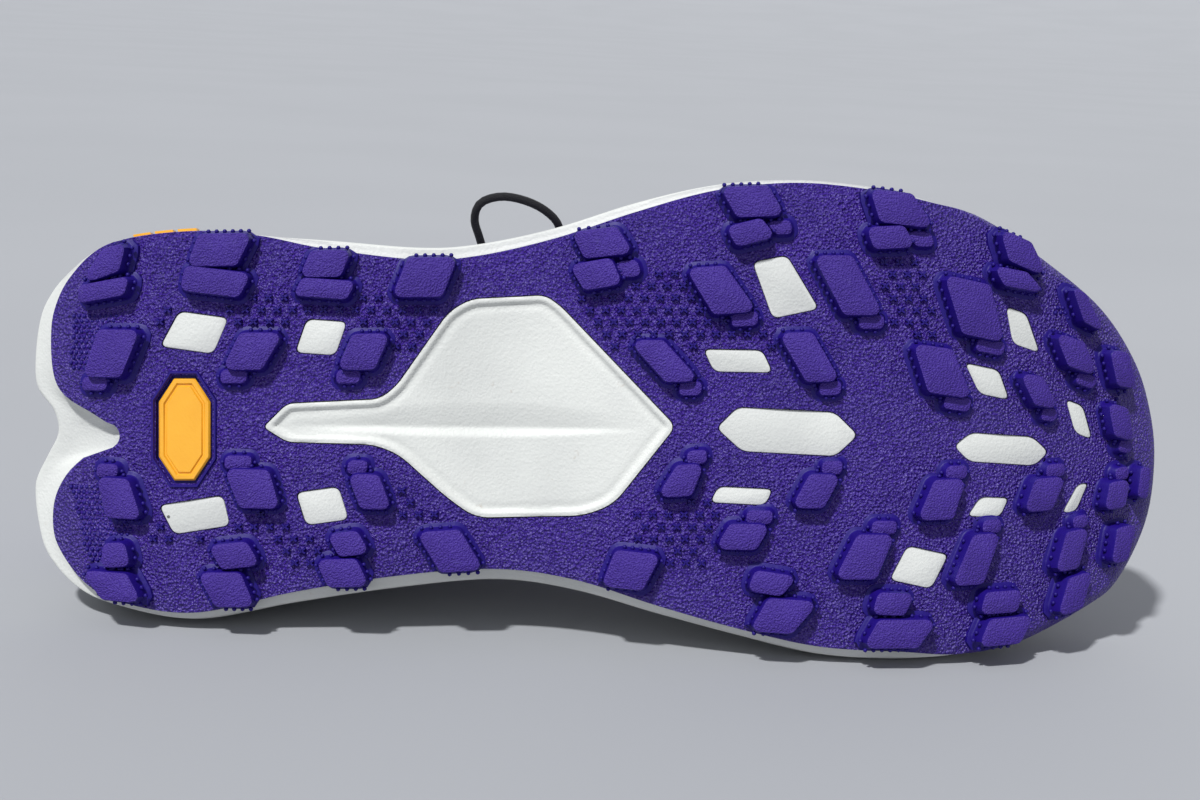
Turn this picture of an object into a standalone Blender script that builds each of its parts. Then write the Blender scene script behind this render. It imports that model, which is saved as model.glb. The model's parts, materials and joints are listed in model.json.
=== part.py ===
"""A trail running shoe for the right foot, lying on its medial side with its sole facing -Y.

The shoe is modelled standing: x runs from heel to toe, y to the medial side and z up from the ground.
An empty then lays it down, so that the floor is z = 0 and the lateral side is up.
"""

import math
from collections import namedtuple

import bmesh
import bpy
import numpy as np
from mathutils import Matrix, Vector

# Overall sizes of the sole
LENGTH = 0.284
BALL_WIDTH = 0.117
TOE_SPRING = 0.027
HEEL_RISE = 0.009
ARCH_RISE = 0.0035
EDGE_ROLL = 0.0014
HEEL_STACK = 0.032
BALL_STACK = 0.025
TOE_STACK = 0.039

# Outsole
SHEET = 0.0018
LUG_HEIGHT = 0.0038
LUG_SIZE = 0.010
LUG_DRAFT = 0.0007
LUG_ROOT = 0.0009
TAB_HEIGHT = 0.55
TAB_GAP = 0.0011
TAB_WIDTH = 0.0022
TOE_WRAP = 0.010
RIM_SHOWS = 0.003

# Windows in the outsole, and the midsole's pads that fill them
WINDOW_SIZE = 0.010
WINDOW_ROUND = 0.0012
PAD_SUNK = 0.0003
BEAD_WIDTH = 0.0012
BEAD_PROUD = 0.0004
TROUGH_DEPTH = 0.0022
BADGE_LENGTH = 0.0125
BADGE_WIDTH = 0.0247
BADGE_SUNK = 0.0004
BADGE_THICK = 0.0013

# Midsole
FLARE_HEIGHT = 0.0045
SIDE_LEAN = 0.0058
SIDE_STEP = 0.0012
CUP_HEIGHT = 0.006
CUP_WALL = 0.003
CUP_ROUND = 0.001

# Raised bars on the lateral side of the heel
BAR_LENGTH = 0.0046
BAR_PITCH = 0.0058
BAR_TALL = 0.0032
BAR_PROUD = 0.0008

# Upper
WALL = 0.002
COLLAR_PAD = 0.0055
HEEL_COLLAR = 0.097
ANKLE_COLLAR = 0.072
INSTEP_HEIGHT = 0.114
TOE_BOX_HEIGHT = 0.056
THROAT_WIDTH = 0.032
OVERLAY = 0.0012
EYESTAY_BAND = 0.014
TOE_CAP_REACH = 0.5
COUNTER_REACH = 0.5
EYELETS = 6
EYELET_RADIUS = 0.0019
EYELET_INSET = 0.006
TONGUE_THICK = 0.004
TONGUE_WIDTH = 0.046
INSOLE_THICK = 0.004
INSOLE_TAPER = 0.04
LACE_RADIUS = 0.0012
KNOT_AT = 0.422

# Clearances
GAP = 0.0003
LAYER_GAP = 0.0005
LACE_OUT = 2 * LAYER_GAP + OVERLAY + 2 * GAP + LACE_RADIUS

# Stations along the foot, as shares of LENGTH, and the ends of the middle stretch
STATIONS = (.17, .21, .25, .29, .33, .365, .395, .41, .45, .50, .55, .60, .64, .675, .70, .72, .74, .77, .81)
HEEL_FAN = (-90, -104, -118, -132, -145, -157, -165, -171, -176, -180, -184, -189, -195, -203, -215, -228, -242, -256)
TOE_FAN_STEPS = 14

# The sole's outline from below, from the heel notch round the lateral side to the toe and back.
# along and across are shares of LENGTH and BALL_WIDTH. bare is how far the outsole's edge lies inside,
# in shares of RIM_SHOWS, and wrap is the share of TOE_WRAP that the outsole climbs there.
Edge = namedtuple("Edge", "along across bare wrap")
OUTLINE = [Edge(*row) for row in (
    (.023, .005, 6.0, 0), (.018, -.044, 5.0, 0), (.004, -.083, 3.6, 0), (.000, -.126, 2.5, 0),
    (.003, -.210, 2.1, 0), (.012, -.273, 1.7, 0), (.035, -.335, .9, 0), (.077, -.391, .1, 0),
    (.148, -.412, 0, 0), (.205, -.405, .1, 0), (.261, -.396, .8, 0), (.338, -.382, 1.1, 0),
    (.389, -.390, 1.1, 0), (.458, -.425, 1.0, 0), (.527, -.475, .9, 0), (.596, -.512, .6, 0),
    (.665, -.522, .4, 0), (.734, -.507, .4, 0), (.780, -.480, .2, 0), (.824, -.447, 0, .3),
    (.881, -.367, 0, .8), (.941, -.266, 0, 1), (.978, -.150, 0, 1), (.995, -.040, 0, 1),
    (1.000, .070, 0, 1), (.991, .201, 0, 1), (.962, .325, 0, 1), (.931, .380, 0, 1),
    (.862, .446, 0, .6), (.806, .472, .1, .2), (.752, .481, .8, 0), (.682, .468, .8, 0),
    (.613, .428, .7, 0), (.544, .383, .8, 0), (.475, .337, 1.0, 0), (.406, .315, 1.0, 0),
    (.321, .330, 1.1, 0), (.235, .360, 1.0, 0), (.150, .395, .7, 0), (.079, .368, .6, 0),
    (.042, .333, 1.0, 0), (.013, .264, 1.6, 0), (.003, .191, 1.9, 0), (.000, .128, 2.5, 0),
    (.003, .096, 3.6, 0), (.013, .053, 5.2, 0),
)]

# Lugs and blocks: at and across place the middle, as shares of LENGTH and BALL_WIDTH. long, wide, rake
# (how far the medial edge lies ahead) and pinch (how much longer the lateral edge is) are shares of
# LUG_SIZE, turn is in degrees and tall is a share of LUG_HEIGHT. tab adds a low step on the inner side.
Lug = namedtuple("Lug", "at across long wide rake pinch turn tall tab")
LATERAL_EDGE_LUGS = [Lug(*row) for row in (
    (.079, -.346, .82, .60, -.58, -.4, -17, 1, 0), (.075, -.288, 1.23, .40, -.14, .1, -9, 1, 0),
    (.175, -.369, 1.22, .75, -.34, .1, -1, 1, 0), (.171, -.304, 1.48, .58, -.14, .2, 7, 1, 0),
    (.265, -.341, .96, .61, -.28, 0, -1, 1, 0), (.264, -.290, 1.26, .42, -.18, 0, 4, 1, 0),
    (.345, -.312, .92, .90, -.68, .3, -1, 1, 0), (.497, -.385, 1.11, .65, .29, -.1, -6, 1, 0),
    (.493, -.320, .95, .64, .21, .1, -9, 1, 0), (.520, -.332, .49, .37, .14, .1, -6, .5, 0),
    (.624, -.468, 1.13, .71, .38, 0, -2, 1, 0), (.622, -.405, .90, .50, .19, -.1, -14, 1, 0),
    (.649, -.416, .47, .30, .16, .2, -4, .5, 0), (.749, -.456, 1.19, .74, .48, -.3, 6, 1, 0),
    (.741, -.396, .96, .51, .21, -.1, -3, 1, 0), (.770, -.395, .51, .34, .20, .1, 0, .5, 0),
    (.859, -.371, .98, .62, .60, -.2, 21, 1, 0), (.855, -.314, .98, .41, .45, -.2, 9, 1, 0),
    (.921, -.256, .50, .63, .75, -.2, 25, 1, 0), (.958, -.128, .55, .85, .35, 0, 8, 1, 0),
)]
INNER_LUGS = [Lug(*row) for row in (
    (.082, -.158, .99, 1.12, -.41, .1, 1, 1, 1), (.203, -.162, .97, .86, -.47, .1, 0, 1, 1),
    (.297, -.161, .87, .83, -.39, 0, -1, 1, 1), (.550, -.142, .81, .97, .87, 0, 0, 1, 1),
    (.597, -.287, .97, 1.12, .63, -.1, -4, 1, 1), (.672, -.150, .80, 1.16, .64, 0, -1, 1, 1),
    (.705, -.297, .93, 1.40, .74, 0, 0, 1, 1), (.786, -.122, 1.04, 1.09, .58, -.1, 8, 1, 1),
    (.816, -.251, 1.13, 1.28, .66, .1, 11, 1, 1), (.875, -.081, .63, .69, .54, 0, 10, 1, 1),
    (.911, -.159, .86, .67, .61, 0, 18, 1, 1), (.956, -.015, .59, .75, .40, 0, 15, 1, 1),
    (.089, .139, .82, .93, .33, -.1, 3, 1, 1), (.204, .119, .99, .90, .33, .1, 1, 1, 1),
    (.302, .125, .71, .80, .33, 0, 2, 1, 1), (.565, .102, .72, .73, -.43, -.2, -3, 1, 1),
    (.616, .217, .96, .59, -.34, 0, 1, 1, 1), (.678, .124, .75, .79, -.42, 0, 1, 1, 1),
    (.720, .259, .94, 1.05, -.48, -.1, 1, 1, 1), (.787, .143, .83, .94, -.39, -.1, -1, 1, 1),
    (.818, .268, .74, 1.18, -.56, -.1, -3, 1, 1), (.880, .136, .78, .78, -.39, .1, -3, 1, 1),
    (.907, .255, .63, .92, -.46, 0, -9, 1, 1), (.952, .141, .58, .66, -.23, 0, -6, 1, 1),
)]
MEDIAL_EDGE_LUGS = [Lug(*row) for row in (
    (.086, .255, .62, .56, .01, -.2, -3, 1, 0), (.084, .320, 1.08, .65, .51, .2, 3, 1, 0),
    (.188, .255, .91, .58, .27, 0, -6, 1, 0), (.182, .325, .97, .80, .39, .1, 0, 1, 0),
    (.284, .231, .71, .55, .24, 0, -7, 1, 0), (.279, .291, .96, .64, .29, 0, -1, 1, 0),
    (.369, .248, 1.01, .98, .52, 0, -3, 1, 0), (.521, .286, 1.02, .88, -.30, .1, 6, 1, 0),
    (.639, .312, .90, .50, -.21, .2, 9, 1, 0), (.649, .379, 1.10, .79, -.49, .2, 4, 1, 0),
    (.743, .356, .83, .51, -.17, .1, 3, 1, 0), (.749, .418, 1.39, .66, -.42, .1, 1, 1, 0),
    (.840, .358, .95, .51, -.17, 0, -2, 1, 0), (.844, .419, 1.12, .63, -.38, .1, -3, 1, 0),
    (.910, .347, .70, .81, -.55, 0, -16, 1, 0), (.958, .247, .51, .85, -.35, .1, -9, 1, 0),
    (.980, .116, .29, .76, .04, 0, 12, 1, 0),
)]
LUGS = LATERAL_EDGE_LUGS + INNER_LUGS + MEDIAL_EDGE_LUGS

# Windows, with the lugs' columns in shares of WINDOW_SIZE. point is how far the two ends stand out.
Window = namedtuple("Window", "at across long wide rake pinch turn point")
WINDOWS = [Window(*row) for row in (
    (.152, -.202, 1.28, .94, -.30, -.1, 8, 0), (.259, -.192, 1.00, .86, -.23, 0, 4, 0),
    (.153, .175, 1.50, .78, .16, .2, -9, 0), (.260, .156, 1.06, .85, .14, 0, -8, 0),
    (.651, -.297, 1.02, 1.46, .35, -.3, -12, 0), (.613, -.143, 1.45, .57, .27, 0, 1, 0),
    (.655, .003, 2.32, 1.09, .12, .1, 3, .58), (.616, .135, 1.36, .43, -.18, 0, 3, 0),
    (.831, -.101, .88, .70, .48, .1, 11, 0), (.862, -.212, .69, .85, .55, -.2, 17, 0),
    (.844, .041, 1.70, .74, .06, -.1, 4, .43), (.832, .162, .84, .52, -.28, -.1, 3, 0),
    (.769, .285, 1.10, .93, -.25, 0, 13, 0), (.918, -.021, .54, .74, .54, 0, 19, 0),
    (.915, .147, .38, .72, -.45, -.1, -3, 0),
)]

# The arch plate's corners: shares of LENGTH and BALL_WIDTH, and the corner's radius in shares of WINDOW_SIZE
Corner = namedtuple("Corner", "at across radius")
ARCH = [Corner(*row) for row in (
    (.209, -.006, .15), (.230, -.057, .20), (.308, -.066, .50), (.322, -.092, .50), (.366, -.246, .45),
    (.385, -.274, .40), (.449, -.282, .40), (.463, -.258, .40), (.561, -.008, .25), (.508, .154, .40),
    (.482, .179, .40), (.389, .184, .40), (.365, .142, .40), (.324, .051, .50), (.303, .031, .50),
    (.230, .026, .20),
)]
# The long trough in the arch plate: its two edges and its bottom, and its depth as a share of TROUGH_DEPTH
Trough = namedtuple("Trough", "at lateral bottom medial deep")
TROUGH = [Trough(*row) for row in (
    (.232, -.036, -.010, .006, .30), (.300, -.043, -.010, .008, .90), (.345, -.054, -.008, .014, 1),
    (.440, -.056, -.006, .016, 1), (.522, -.030, -.004, .008, .25),
)]

# The height of the foot bed over the ground along the sole, as a share of the way between the stacks
Bed = namedtuple("Bed", "at height")
BED = [Bed(*row) for row in (
    (0, HEEL_STACK + .0015), (.12, HEEL_STACK), (.30, HEEL_STACK - .0012), (.50, BALL_STACK + .0022),
    (.65, BALL_STACK), (.80, BALL_STACK + .0028), (.90, (BALL_STACK + TOE_STACK) / 2), (1, TOE_STACK),
)]

# The upper's sections: crown is the height of the ridge that the two sides run up to, real at the toe
# and instep and imagined over the ankle, and full is the power of the section's rounding.
Section = namedtuple("Section", "at crown full")
SECTIONS = [Section(*row) for row in (
    (.00, HEEL_COLLAR + .055, 1.75), (.17, HEEL_COLLAR + .050, 1.72), (.25, HEEL_COLLAR + .044, 1.72),
    (.33, INSTEP_HEIGHT + .017, 1.75), (.40, INSTEP_HEIGHT, 1.80), (.50, INSTEP_HEIGHT - .022, 1.95),
    (.60, TOE_BOX_HEIGHT + .021, 2.10), (.70, TOE_BOX_HEIGHT + .009, 2.25), (.81, TOE_BOX_HEIGHT, 2.35),
    (1.0, TOE_BOX_HEIGHT, 2.4),
)]
# The collar's height over the ground, and half the throat's opening
Collar = namedtuple("Collar", "at height")
COLLAR = [Collar(*row) for row in (
    (.00, HEEL_COLLAR), (.06, HEEL_COLLAR - .004), (.14, ANKLE_COLLAR + .008), (.22, ANKLE_COLLAR),
    (.30, ANKLE_COLLAR + .002), (.36, ANKLE_COLLAR + .010), (.40, ANKLE_COLLAR + .018),
)]
Throat = namedtuple("Throat", "at half")
THROAT = [Throat(*row) for row in (
    (.40, THROAT_WIDTH * .50), (.50, THROAT_WIDTH * .47), (.60, THROAT_WIDTH * .42),
    (.66, THROAT_WIDTH * .36), (.70, THROAT_WIDTH * .24), (.72, 0),
)]
THROAT_TOP = .40
THROAT_END = .72
TONGUE_FROM = .345
TONGUE_TO = .70

# The bow's loops, as places ahead of, across and above the middle of its knot
Turn = namedtuple("Turn", "ahead across up")
LATERAL_LOOP = [Turn(*row) for row in (
    (-.0020, -.0067, .0000), (-.0040, -.0150, .0010), (-.0080, -.0270, -.0060), (-.0115, -.0390, -.0170),
    (-.0140, -.0490, -.0290), (-.0150, -.0540, -.0365), (-.0130, -.0582, -.0402), (-.0072, -.0600, -.0405),
    (-.0005, -.0590, -.0395), (.0055, -.0562, -.0375), (.0092, -.0520, -.0335), (.0098, -.0440, -.0260),
    (.0080, -.0330, -.0150), (.0060, -.0200, -.0050), (.0035, -.0130, -.0005), (.0022, -.0067, -.0004),
)]
MEDIAL_LOOP = [Turn(*row) for row in (
    (-.0020, .0067, .0000), (-.0045, .0140, .0005), (-.0070, .0200, -.0050), (-.0075, .0250, -.0120),
    (-.0060, .0285, -.0180), (-.0010, .0300, -.0210), (.0040, .0290, -.0205), (.0070, .0250, -.0160),
    (.0070, .0190, -.0095), (.0045, .0130, -.0030), (.0022, .0067, -.0004),
)]
# The lace's ends, as shares of LENGTH along the ridge, places across it and heights out from the upper
End = namedtuple("End", "at across out")
LATERAL_END = [End(*row) for row in (
    (.4470, -.0035, .0118), (.4620, -.0085, .0092), (.4850, -.0150, .0076), (.5150, -.0210, .0072),
    (.5500, -.0255, .0072), (.5850, -.0280, .0072),
)]
MEDIAL_END = [End(*row) for row in (
    (.4470, .0035, .0118), (.4640, .0080, .0096), (.4900, .0120, .0078), (.5200, .0150, .0072),
    (.5550, .0170, .0072), (.5900, .0180, .0072),
)]
KNOT_SIZE = (.0062, .0068, .0040)


def clear_scene():
    for item in list(bpy.data.objects):
        bpy.data.objects.remove(item, do_unlink=True)


def material(name, colour, roughness, metallic=0.0):
    made = bpy.data.materials.new(name)
    made.use_nodes = True
    shader = made.node_tree.nodes["Principled BSDF"]
    shader.inputs["Base Color"].default_value = (*colour, 1)
    shader.inputs["Roughness"].default_value = roughness
    shader.inputs["Metallic"].default_value = metallic
    return made


def hermite(before, start, end, after, share):
    """A smooth value between start and end, through its neighbours' values."""
    slope_in, slope_out = (end - before) / 2, (after - start) / 2
    s2, s3 = share * share, share ** 3
    return ((2 * s3 - 3 * s2 + 1) * start + (s3 - 2 * s2 + share) * slope_in
            + (3 * s2 - 2 * s3) * end + (s3 - s2) * slope_out)


def read(table, at, column):
    """A column of a table of stations at one place, smoothed between its rows."""
    places = [row.at for row in table]
    at = min(max(at, places[0]), places[-1])
    i = min(int(np.searchsorted(places, at, side="right")) - 1, len(table) - 2)
    values = [getattr(row, column) for row in table]
    width = places[i + 1] - places[i]
    before = values[max(i - 1, 0)]
    after = values[min(i + 2, len(values) - 1)]
    left = width / (places[i + 1] - places[i - 1]) if i else 0.5
    right = width / (places[i + 2] - places[i]) if i + 2 < len(places) else 0.5
    slope_in = (values[i + 1] - before) * left
    slope_out = (after - values[i]) * right
    s = (at - places[i]) / width
    return ((2 * s ** 3 - 3 * s * s + 1) * values[i] + (s ** 3 - 2 * s * s + s) * slope_in
            + (3 * s * s - 2 * s ** 3) * values[i + 1] + (s ** 3 - s * s) * slope_out)


def closed_curve(rows, steps=8):
    """The rows of a closed outline with smooth points between them."""
    rows = np.array(rows, float)
    points = []
    for i in range(len(rows)):
        around = [rows[(i + k) % len(rows)] for k in (-1, 0, 1, 2)]
        points += [hermite(*around, step / steps) for step in range(steps)]
    return np.array(points)


OUTLINE_CURVE = closed_curve(OUTLINE) * (LENGTH, BALL_WIDTH, RIM_SHOWS, 1)
FILLED_CURVE = closed_curve([row for row in OUTLINE if row.bare < 3]) * (LENGTH, BALL_WIDTH, RIM_SHOWS, 1)


def ray(origin, direction, curve=OUTLINE_CURVE):
    """How far the outline is from a point inside it, with its bare and wrap values there."""
    start = curve[:, :2] - origin
    step = np.roll(curve[:, :2], -1, axis=0) - curve[:, :2]
    cross = direction[0] * step[:, 1] - direction[1] * step[:, 0]
    cross = np.where(abs(cross) < 1e-12, 1e-12, cross)
    far = (start[:, 0] * step[:, 1] - start[:, 1] * step[:, 0]) / cross
    share = (start[:, 0] * direction[1] - start[:, 1] * direction[0]) / cross
    hit = np.where((far > 0) & (share >= 0) & (share <= 1), far, np.inf)
    i = int(hit.argmin())
    following = (i + 1) % len(curve)
    bare, wrap = curve[i, 2:] * (1 - share[i]) + curve[following, 2:] * share[i]
    return float(hit[i]), max(0.0, float(bare)), min(1.0, max(0.0, float(wrap)))


def middle(x):
    """The sole's centre line."""
    lateral = ray((x, 0), (0, -1))[0]
    medial = ray((x, 0), (0, 1))[0]
    return (medial - lateral) / 2


HEEL_CENTRE = (STATIONS[0] * LENGTH, middle(STATIONS[0] * LENGTH))
TOE_CENTRE = (STATIONS[-1] * LENGTH, middle(STATIONS[-1] * LENGTH))


class Spoke:
    """A line from the centre line out to the sole's edge."""

    def __init__(self, origin, direction):
        self.origin = origin
        self.direction = direction
        self.edge, self.bare, self.wrap = ray(origin, direction)
        if self.bare > GAP / 3:
            self.wrap = 0.0
        self.foam = self.edge - self.wrap * (SHEET + GAP)
        self.foot = ray(origin, direction, FILLED_CURVE)[0] - self.wrap * (SHEET + GAP) - SIDE_LEAN
        self.at = origin[0] / LENGTH

    def point(self, far, z):
        return (self.origin[0] + self.direction[0] * far, self.origin[1] + self.direction[1] * far, z)


def spoke_at(x, side):
    """The spoke across the foot at x, on the lateral (-1) or medial (1) side."""
    return Spoke((x, middle(x)), (0, side))


def spokes_round():
    """Every spoke, from the lateral side round the heel, along the medial side and round the toe."""
    found = [Spoke(HEEL_CENTRE, (math.cos(math.radians(a)), math.sin(math.radians(a)))) for a in HEEL_FAN]
    found += [spoke_at(at * LENGTH, 1) for at in STATIONS[:-1]]
    for step in range(TOE_FAN_STEPS):
        angle = math.pi / 2 - math.pi * step / TOE_FAN_STEPS
        found.append(Spoke(TOE_CENTRE, (math.cos(angle), math.sin(angle))))
    found += [spoke_at(at * LENGTH, -1) for at in reversed(STATIONS[1:])]
    return found


def ground(x):
    """How far the flat of the tread is off the ground at x: heel rise, arch and toe spring."""
    at = x / LENGTH
    rise = 0.0
    if at < .15:
        rise += HEEL_RISE * ((.15 - max(at, 0)) / .15) ** 2
    if .28 < at < .56:
        rise += ARCH_RISE * math.sin(math.pi * (at - .28) / .28) ** 2
    if at > .64:
        rise += TOE_SPRING * ((at - .64) / .36) ** 2.1
    return rise


def base(x, share):
    """The outsole's outer face between the lugs, at a share of the way out to the edge."""
    return LUG_HEIGHT + ground(x) + EDGE_ROLL * min(share, 1.1) ** 6


def share_out(x, y):
    """How far out a point lies, as a share of its spoke."""
    if HEEL_CENTRE[0] <= x <= TOE_CENTRE[0]:
        origin = (x, middle(x))
    else:
        origin = HEEL_CENTRE if x < HEEL_CENTRE[0] else TOE_CENTRE
    far = math.hypot(x - origin[0], y - origin[1])
    if far < 1e-6:
        return 0.0
    return far / ray(origin, ((x - origin[0]) / far, (y - origin[1]) / far))[0]


def base_at(x, y):
    return base(x, share_out(x, y))


def bed(x):
    return read(BED, x / LENGTH, "height")


def new_object(name, mesh, look=None):
    made = bpy.data.objects.new(name, mesh)
    bpy.context.scene.collection.objects.link(made)
    if look:
        mesh.materials.append(look)
    return made


def finish_mesh(bm, name, look=None, smooth=True):
    """Merges what coincides, turns the faces outwards and makes the object."""
    bmesh.ops.remove_doubles(bm, verts=bm.verts, dist=2e-6)
    bmesh.ops.dissolve_degenerate(bm, edges=bm.edges, dist=1e-7)
    bmesh.ops.triangulate(bm, faces=bm.faces)
    bmesh.ops.recalc_face_normals(bm, faces=bm.faces)
    mesh = bpy.data.meshes.new(name)
    bm.to_mesh(mesh)
    bm.free()
    if smooth:
        mesh.shade_smooth()
        mesh.set_sharp_from_angle(angle=math.radians(35))
    return new_object(name, mesh, look)


def strip(bm, rows, closed):
    """Faces between each row of vertices and the next, and round to the first where it is closed."""
    pairs = list(zip(rows, rows[1:] + rows[:1])) if closed else list(zip(rows, rows[1:]))
    for one, two in pairs:
        for k in range(len(one) - 1):
            corners = [one[k], one[k + 1], two[k + 1], two[k]]
            kept = [v for i, v in enumerate(corners) if (v.co - corners[i - 1].co).length > 2e-6]
            if len(kept) > 2:
                bm.faces.new(kept)


def body_of_spokes(name, profile, look):
    """A closed body whose section on each spoke runs from the centre line below to that above."""
    bm = bmesh.new()
    rows = []
    for spoke in spokes_round():
        rows.append([bm.verts.new(spoke.point(*corner)) for corner in profile(spoke)])
    strip(bm, rows, closed=True)
    return finish_mesh(bm, name, look)


def along(spoke, far):
    """The x of a point on a spoke."""
    return spoke.origin[0] + spoke.direction[0] * far


def face_heights(spoke, reach, shares, lift):
    """Points on the outsole's outer face moved up by lift, at shares of reach."""
    found = []
    for share in shares:
        far = reach * share
        found.append((far, base(along(spoke, far), far / spoke.edge) + lift))
    return found


def outsole_profile(spoke):
    edge = spoke.foam - spoke.bare
    outer = face_heights(spoke, edge, (0, .55, .88), 0)
    inner = face_heights(spoke, edge, (.88, .55, 0), SHEET)
    low = base(along(spoke, edge), edge / spoke.edge)
    wrap = min(1.0, 1.6 * spoke.wrap) * (SHEET + GAP)
    top = low + SHEET + spoke.wrap * TOE_WRAP
    sheet = wrap * SHEET / (SHEET + GAP)
    outer += [(edge + wrap * .4, low + wrap * .15), (edge + wrap, low + wrap * .8), (edge + wrap, top)]
    if not wrap:
        outer = outer[:-3] + [(edge, low), (edge, low), (edge, top)]
    return outer + [(edge + wrap - sheet, top), (edge + wrap - sheet, low + SHEET)] + inner


def midsole_profile(spoke):
    edge = spoke.foam - spoke.bare
    reach = spoke.foam
    lift = SHEET + GAP
    found = face_heights(spoke, edge, (0, .55, .88), lift)
    low = base(along(spoke, edge), edge / spoke.edge) + lift
    rim = base(along(spoke, reach), 1) + lift
    cup = spoke.foot
    top = bed(along(spoke, cup)) + CUP_HEIGHT
    side = top - rim - FLARE_HEIGHT
    step = rim + FLARE_HEIGHT + side * .42
    shoulder = reach + (cup - reach) * .45
    inner = cup - CUP_WALL
    found += [
        (edge, low),
        (reach - .22 * RIM_SHOWS, rim + .1 * FLARE_HEIGHT),
        (reach, rim + .5 * FLARE_HEIGHT),
        (reach, rim + FLARE_HEIGHT),
        (shoulder, step),
        (shoulder - SIDE_STEP, step + SIDE_STEP),
        (cup, top - CUP_ROUND),
        (cup - CUP_ROUND, top),
        (inner, top),
        (inner, bed(along(spoke, inner))),
        (inner * .6, bed(along(spoke, inner * .6))),
        (0, bed(spoke.origin[0])),
    ]
    return found


def insole_profile(spoke):
    reach = upper_reach(spoke) - WALL - LAYER_GAP
    low = [(reach * share, bed(along(spoke, reach * share)) + LAYER_GAP) for share in (0, .6, 1)]
    high = [(far * (1 - INSOLE_TAPER), z + INSOLE_THICK + (EDGE_ROLL if far == reach else 0))
            for far, z in reversed(low)]
    return low + high


def upper_reach(spoke):
    return spoke.foot - CUP_WALL - GAP


def upper_point(spoke, angle, out):
    """A point of the upper, or of what lies out from it, at an angle from the base (0) to the ridge."""
    power = 2 / read(SECTIONS, spoke.at, "full")
    reach = upper_reach(spoke)
    foot = bed(along(spoke, reach)) + GAP
    rise = read(SECTIONS, spoke.at, "crown") - foot
    across = max(0.0, math.cos(angle)) ** power
    if angle > math.pi / 2 - 1e-9:
        across = 0.0
    return spoke.point((reach + out) * across, foot + (rise + out) * math.sin(angle) ** power)


def angle_at_height(spoke, height):
    power = 2 / read(SECTIONS, spoke.at, "full")
    foot = bed(along(spoke, upper_reach(spoke))) + GAP
    rise = read(SECTIONS, spoke.at, "crown") - foot
    return math.asin(min(1.0, max(0.02, (height - foot) / rise)) ** (1 / power))


def angle_at_half(spoke, half):
    power = 2 / read(SECTIONS, spoke.at, "full")
    return math.acos(min(1.0, max(0.0, half / upper_reach(spoke))) ** (1 / power))


def angle_below(spoke, angle, distance):
    """The angle that lies a distance down the section from another."""
    here = Vector(upper_point(spoke, angle, 0))
    while distance > 0 and angle > .05:
        angle -= .01
        following = Vector(upper_point(spoke, angle, 0))
        distance -= (following - here).length
        here = following
    return angle


def rim_angle(spoke):
    """Where the upper ends: at the collar, at the throat's edge or, over the toes, at the ridge."""
    if spoke.at < THROAT_TOP:
        return angle_at_height(spoke, read(COLLAR, along(spoke, .85 * spoke.edge) / LENGTH, "height"))
    if spoke.at < THROAT_END:
        return angle_at_half(spoke, read(THROAT, spoke.at, "half"))
    return math.pi / 2


def padding(spoke, share):
    """The upper's thickness: one wall, and more towards the collar."""
    fade = min(1.0, max(0.0, (.39 - spoke.at) / .08)) * min(1.0, max(0.0, (share - .45) / .35))
    rim = 1 - .35 * max(0.0, (share - .93) / .07)
    return WALL + (COLLAR_PAD - WALL) * fade * fade * (3 - 2 * fade) * rim


def shell(name, look, columns, layers, closed=False):
    """A wall between two layers of a grid. Each column is a spoke with its angles, and open_end says
    whether the column's last point is a free edge."""
    bm = bmesh.new()
    outer, inner = [], []
    for spoke, angles, _ in columns:
        low, high = layers
        outer.append([bm.verts.new(upper_point(spoke, a, high(spoke, i / (len(angles) - 1))))
                      for i, a in enumerate(angles)])
        inner.append([bm.verts.new(upper_point(spoke, a, low(spoke, i / (len(angles) - 1))))
                      for i, a in enumerate(angles)])
    strip(bm, outer, closed)
    strip(bm, [row[::-1] for row in inner], closed)
    feet = [[a[0], b[0]] for a, b in zip(outer, inner)]
    strip(bm, [row[::-1] for row in feet], closed)
    count = len(columns)
    for i in range(count if closed else count - 1):
        following = (i + 1) % count
        if columns[i][2] or columns[following][2]:
            strip(bm, [[outer[i][-1], inner[i][-1]], [outer[following][-1], inner[following][-1]]], False)
    if not closed:
        strip(bm, [outer[0], inner[0]], False)
        strip(bm, [inner[-1], outer[-1]], False)
    return finish_mesh(bm, name, look)


def spread(start, end, steps):
    return [start + (end - start) * i / steps for i in range(steps + 1)]


def make_upper(look):
    columns = []
    for spoke in spokes_round():
        rim = rim_angle(spoke)
        columns.append((spoke, spread(0, rim, 7), rim < math.pi / 2 - 1e-6))
    return shell("upper", look, columns, (lambda spoke, share: -padding(spoke, share), lambda spoke, share: 0.0),
                 closed=True)


def make_overlay(name, look, spokes, low, high):
    """An overlay on the upper between two angles, each given for a spoke."""
    columns = [(spoke, spread(low(spoke), high(spoke), 5), True) for spoke in spokes]
    return shell(name, look, columns,
                 (lambda spoke, share: LAYER_GAP, lambda spoke, share: LAYER_GAP + OVERLAY))


def cup_angle(spoke):
    """Just above the midsole's cup."""
    return angle_at_height(spoke, bed(along(spoke, spoke.foot)) + CUP_HEIGHT + LAYER_GAP)


def make_toe_cap(look):
    rounds = [s for s in spokes_round() if s.at >= .77]
    lead = [i for i, s in enumerate(rounds)]

    def high(spoke):
        share = max(0.0, spoke.direction[0]) ** .7
        return cup_angle(spoke) + (math.pi / 2 - cup_angle(spoke)) * (.16 + TOE_CAP_REACH * .8 * share)

    return make_overlay("toe_cap", look, [rounds[i] for i in lead], cup_angle, high)


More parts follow.
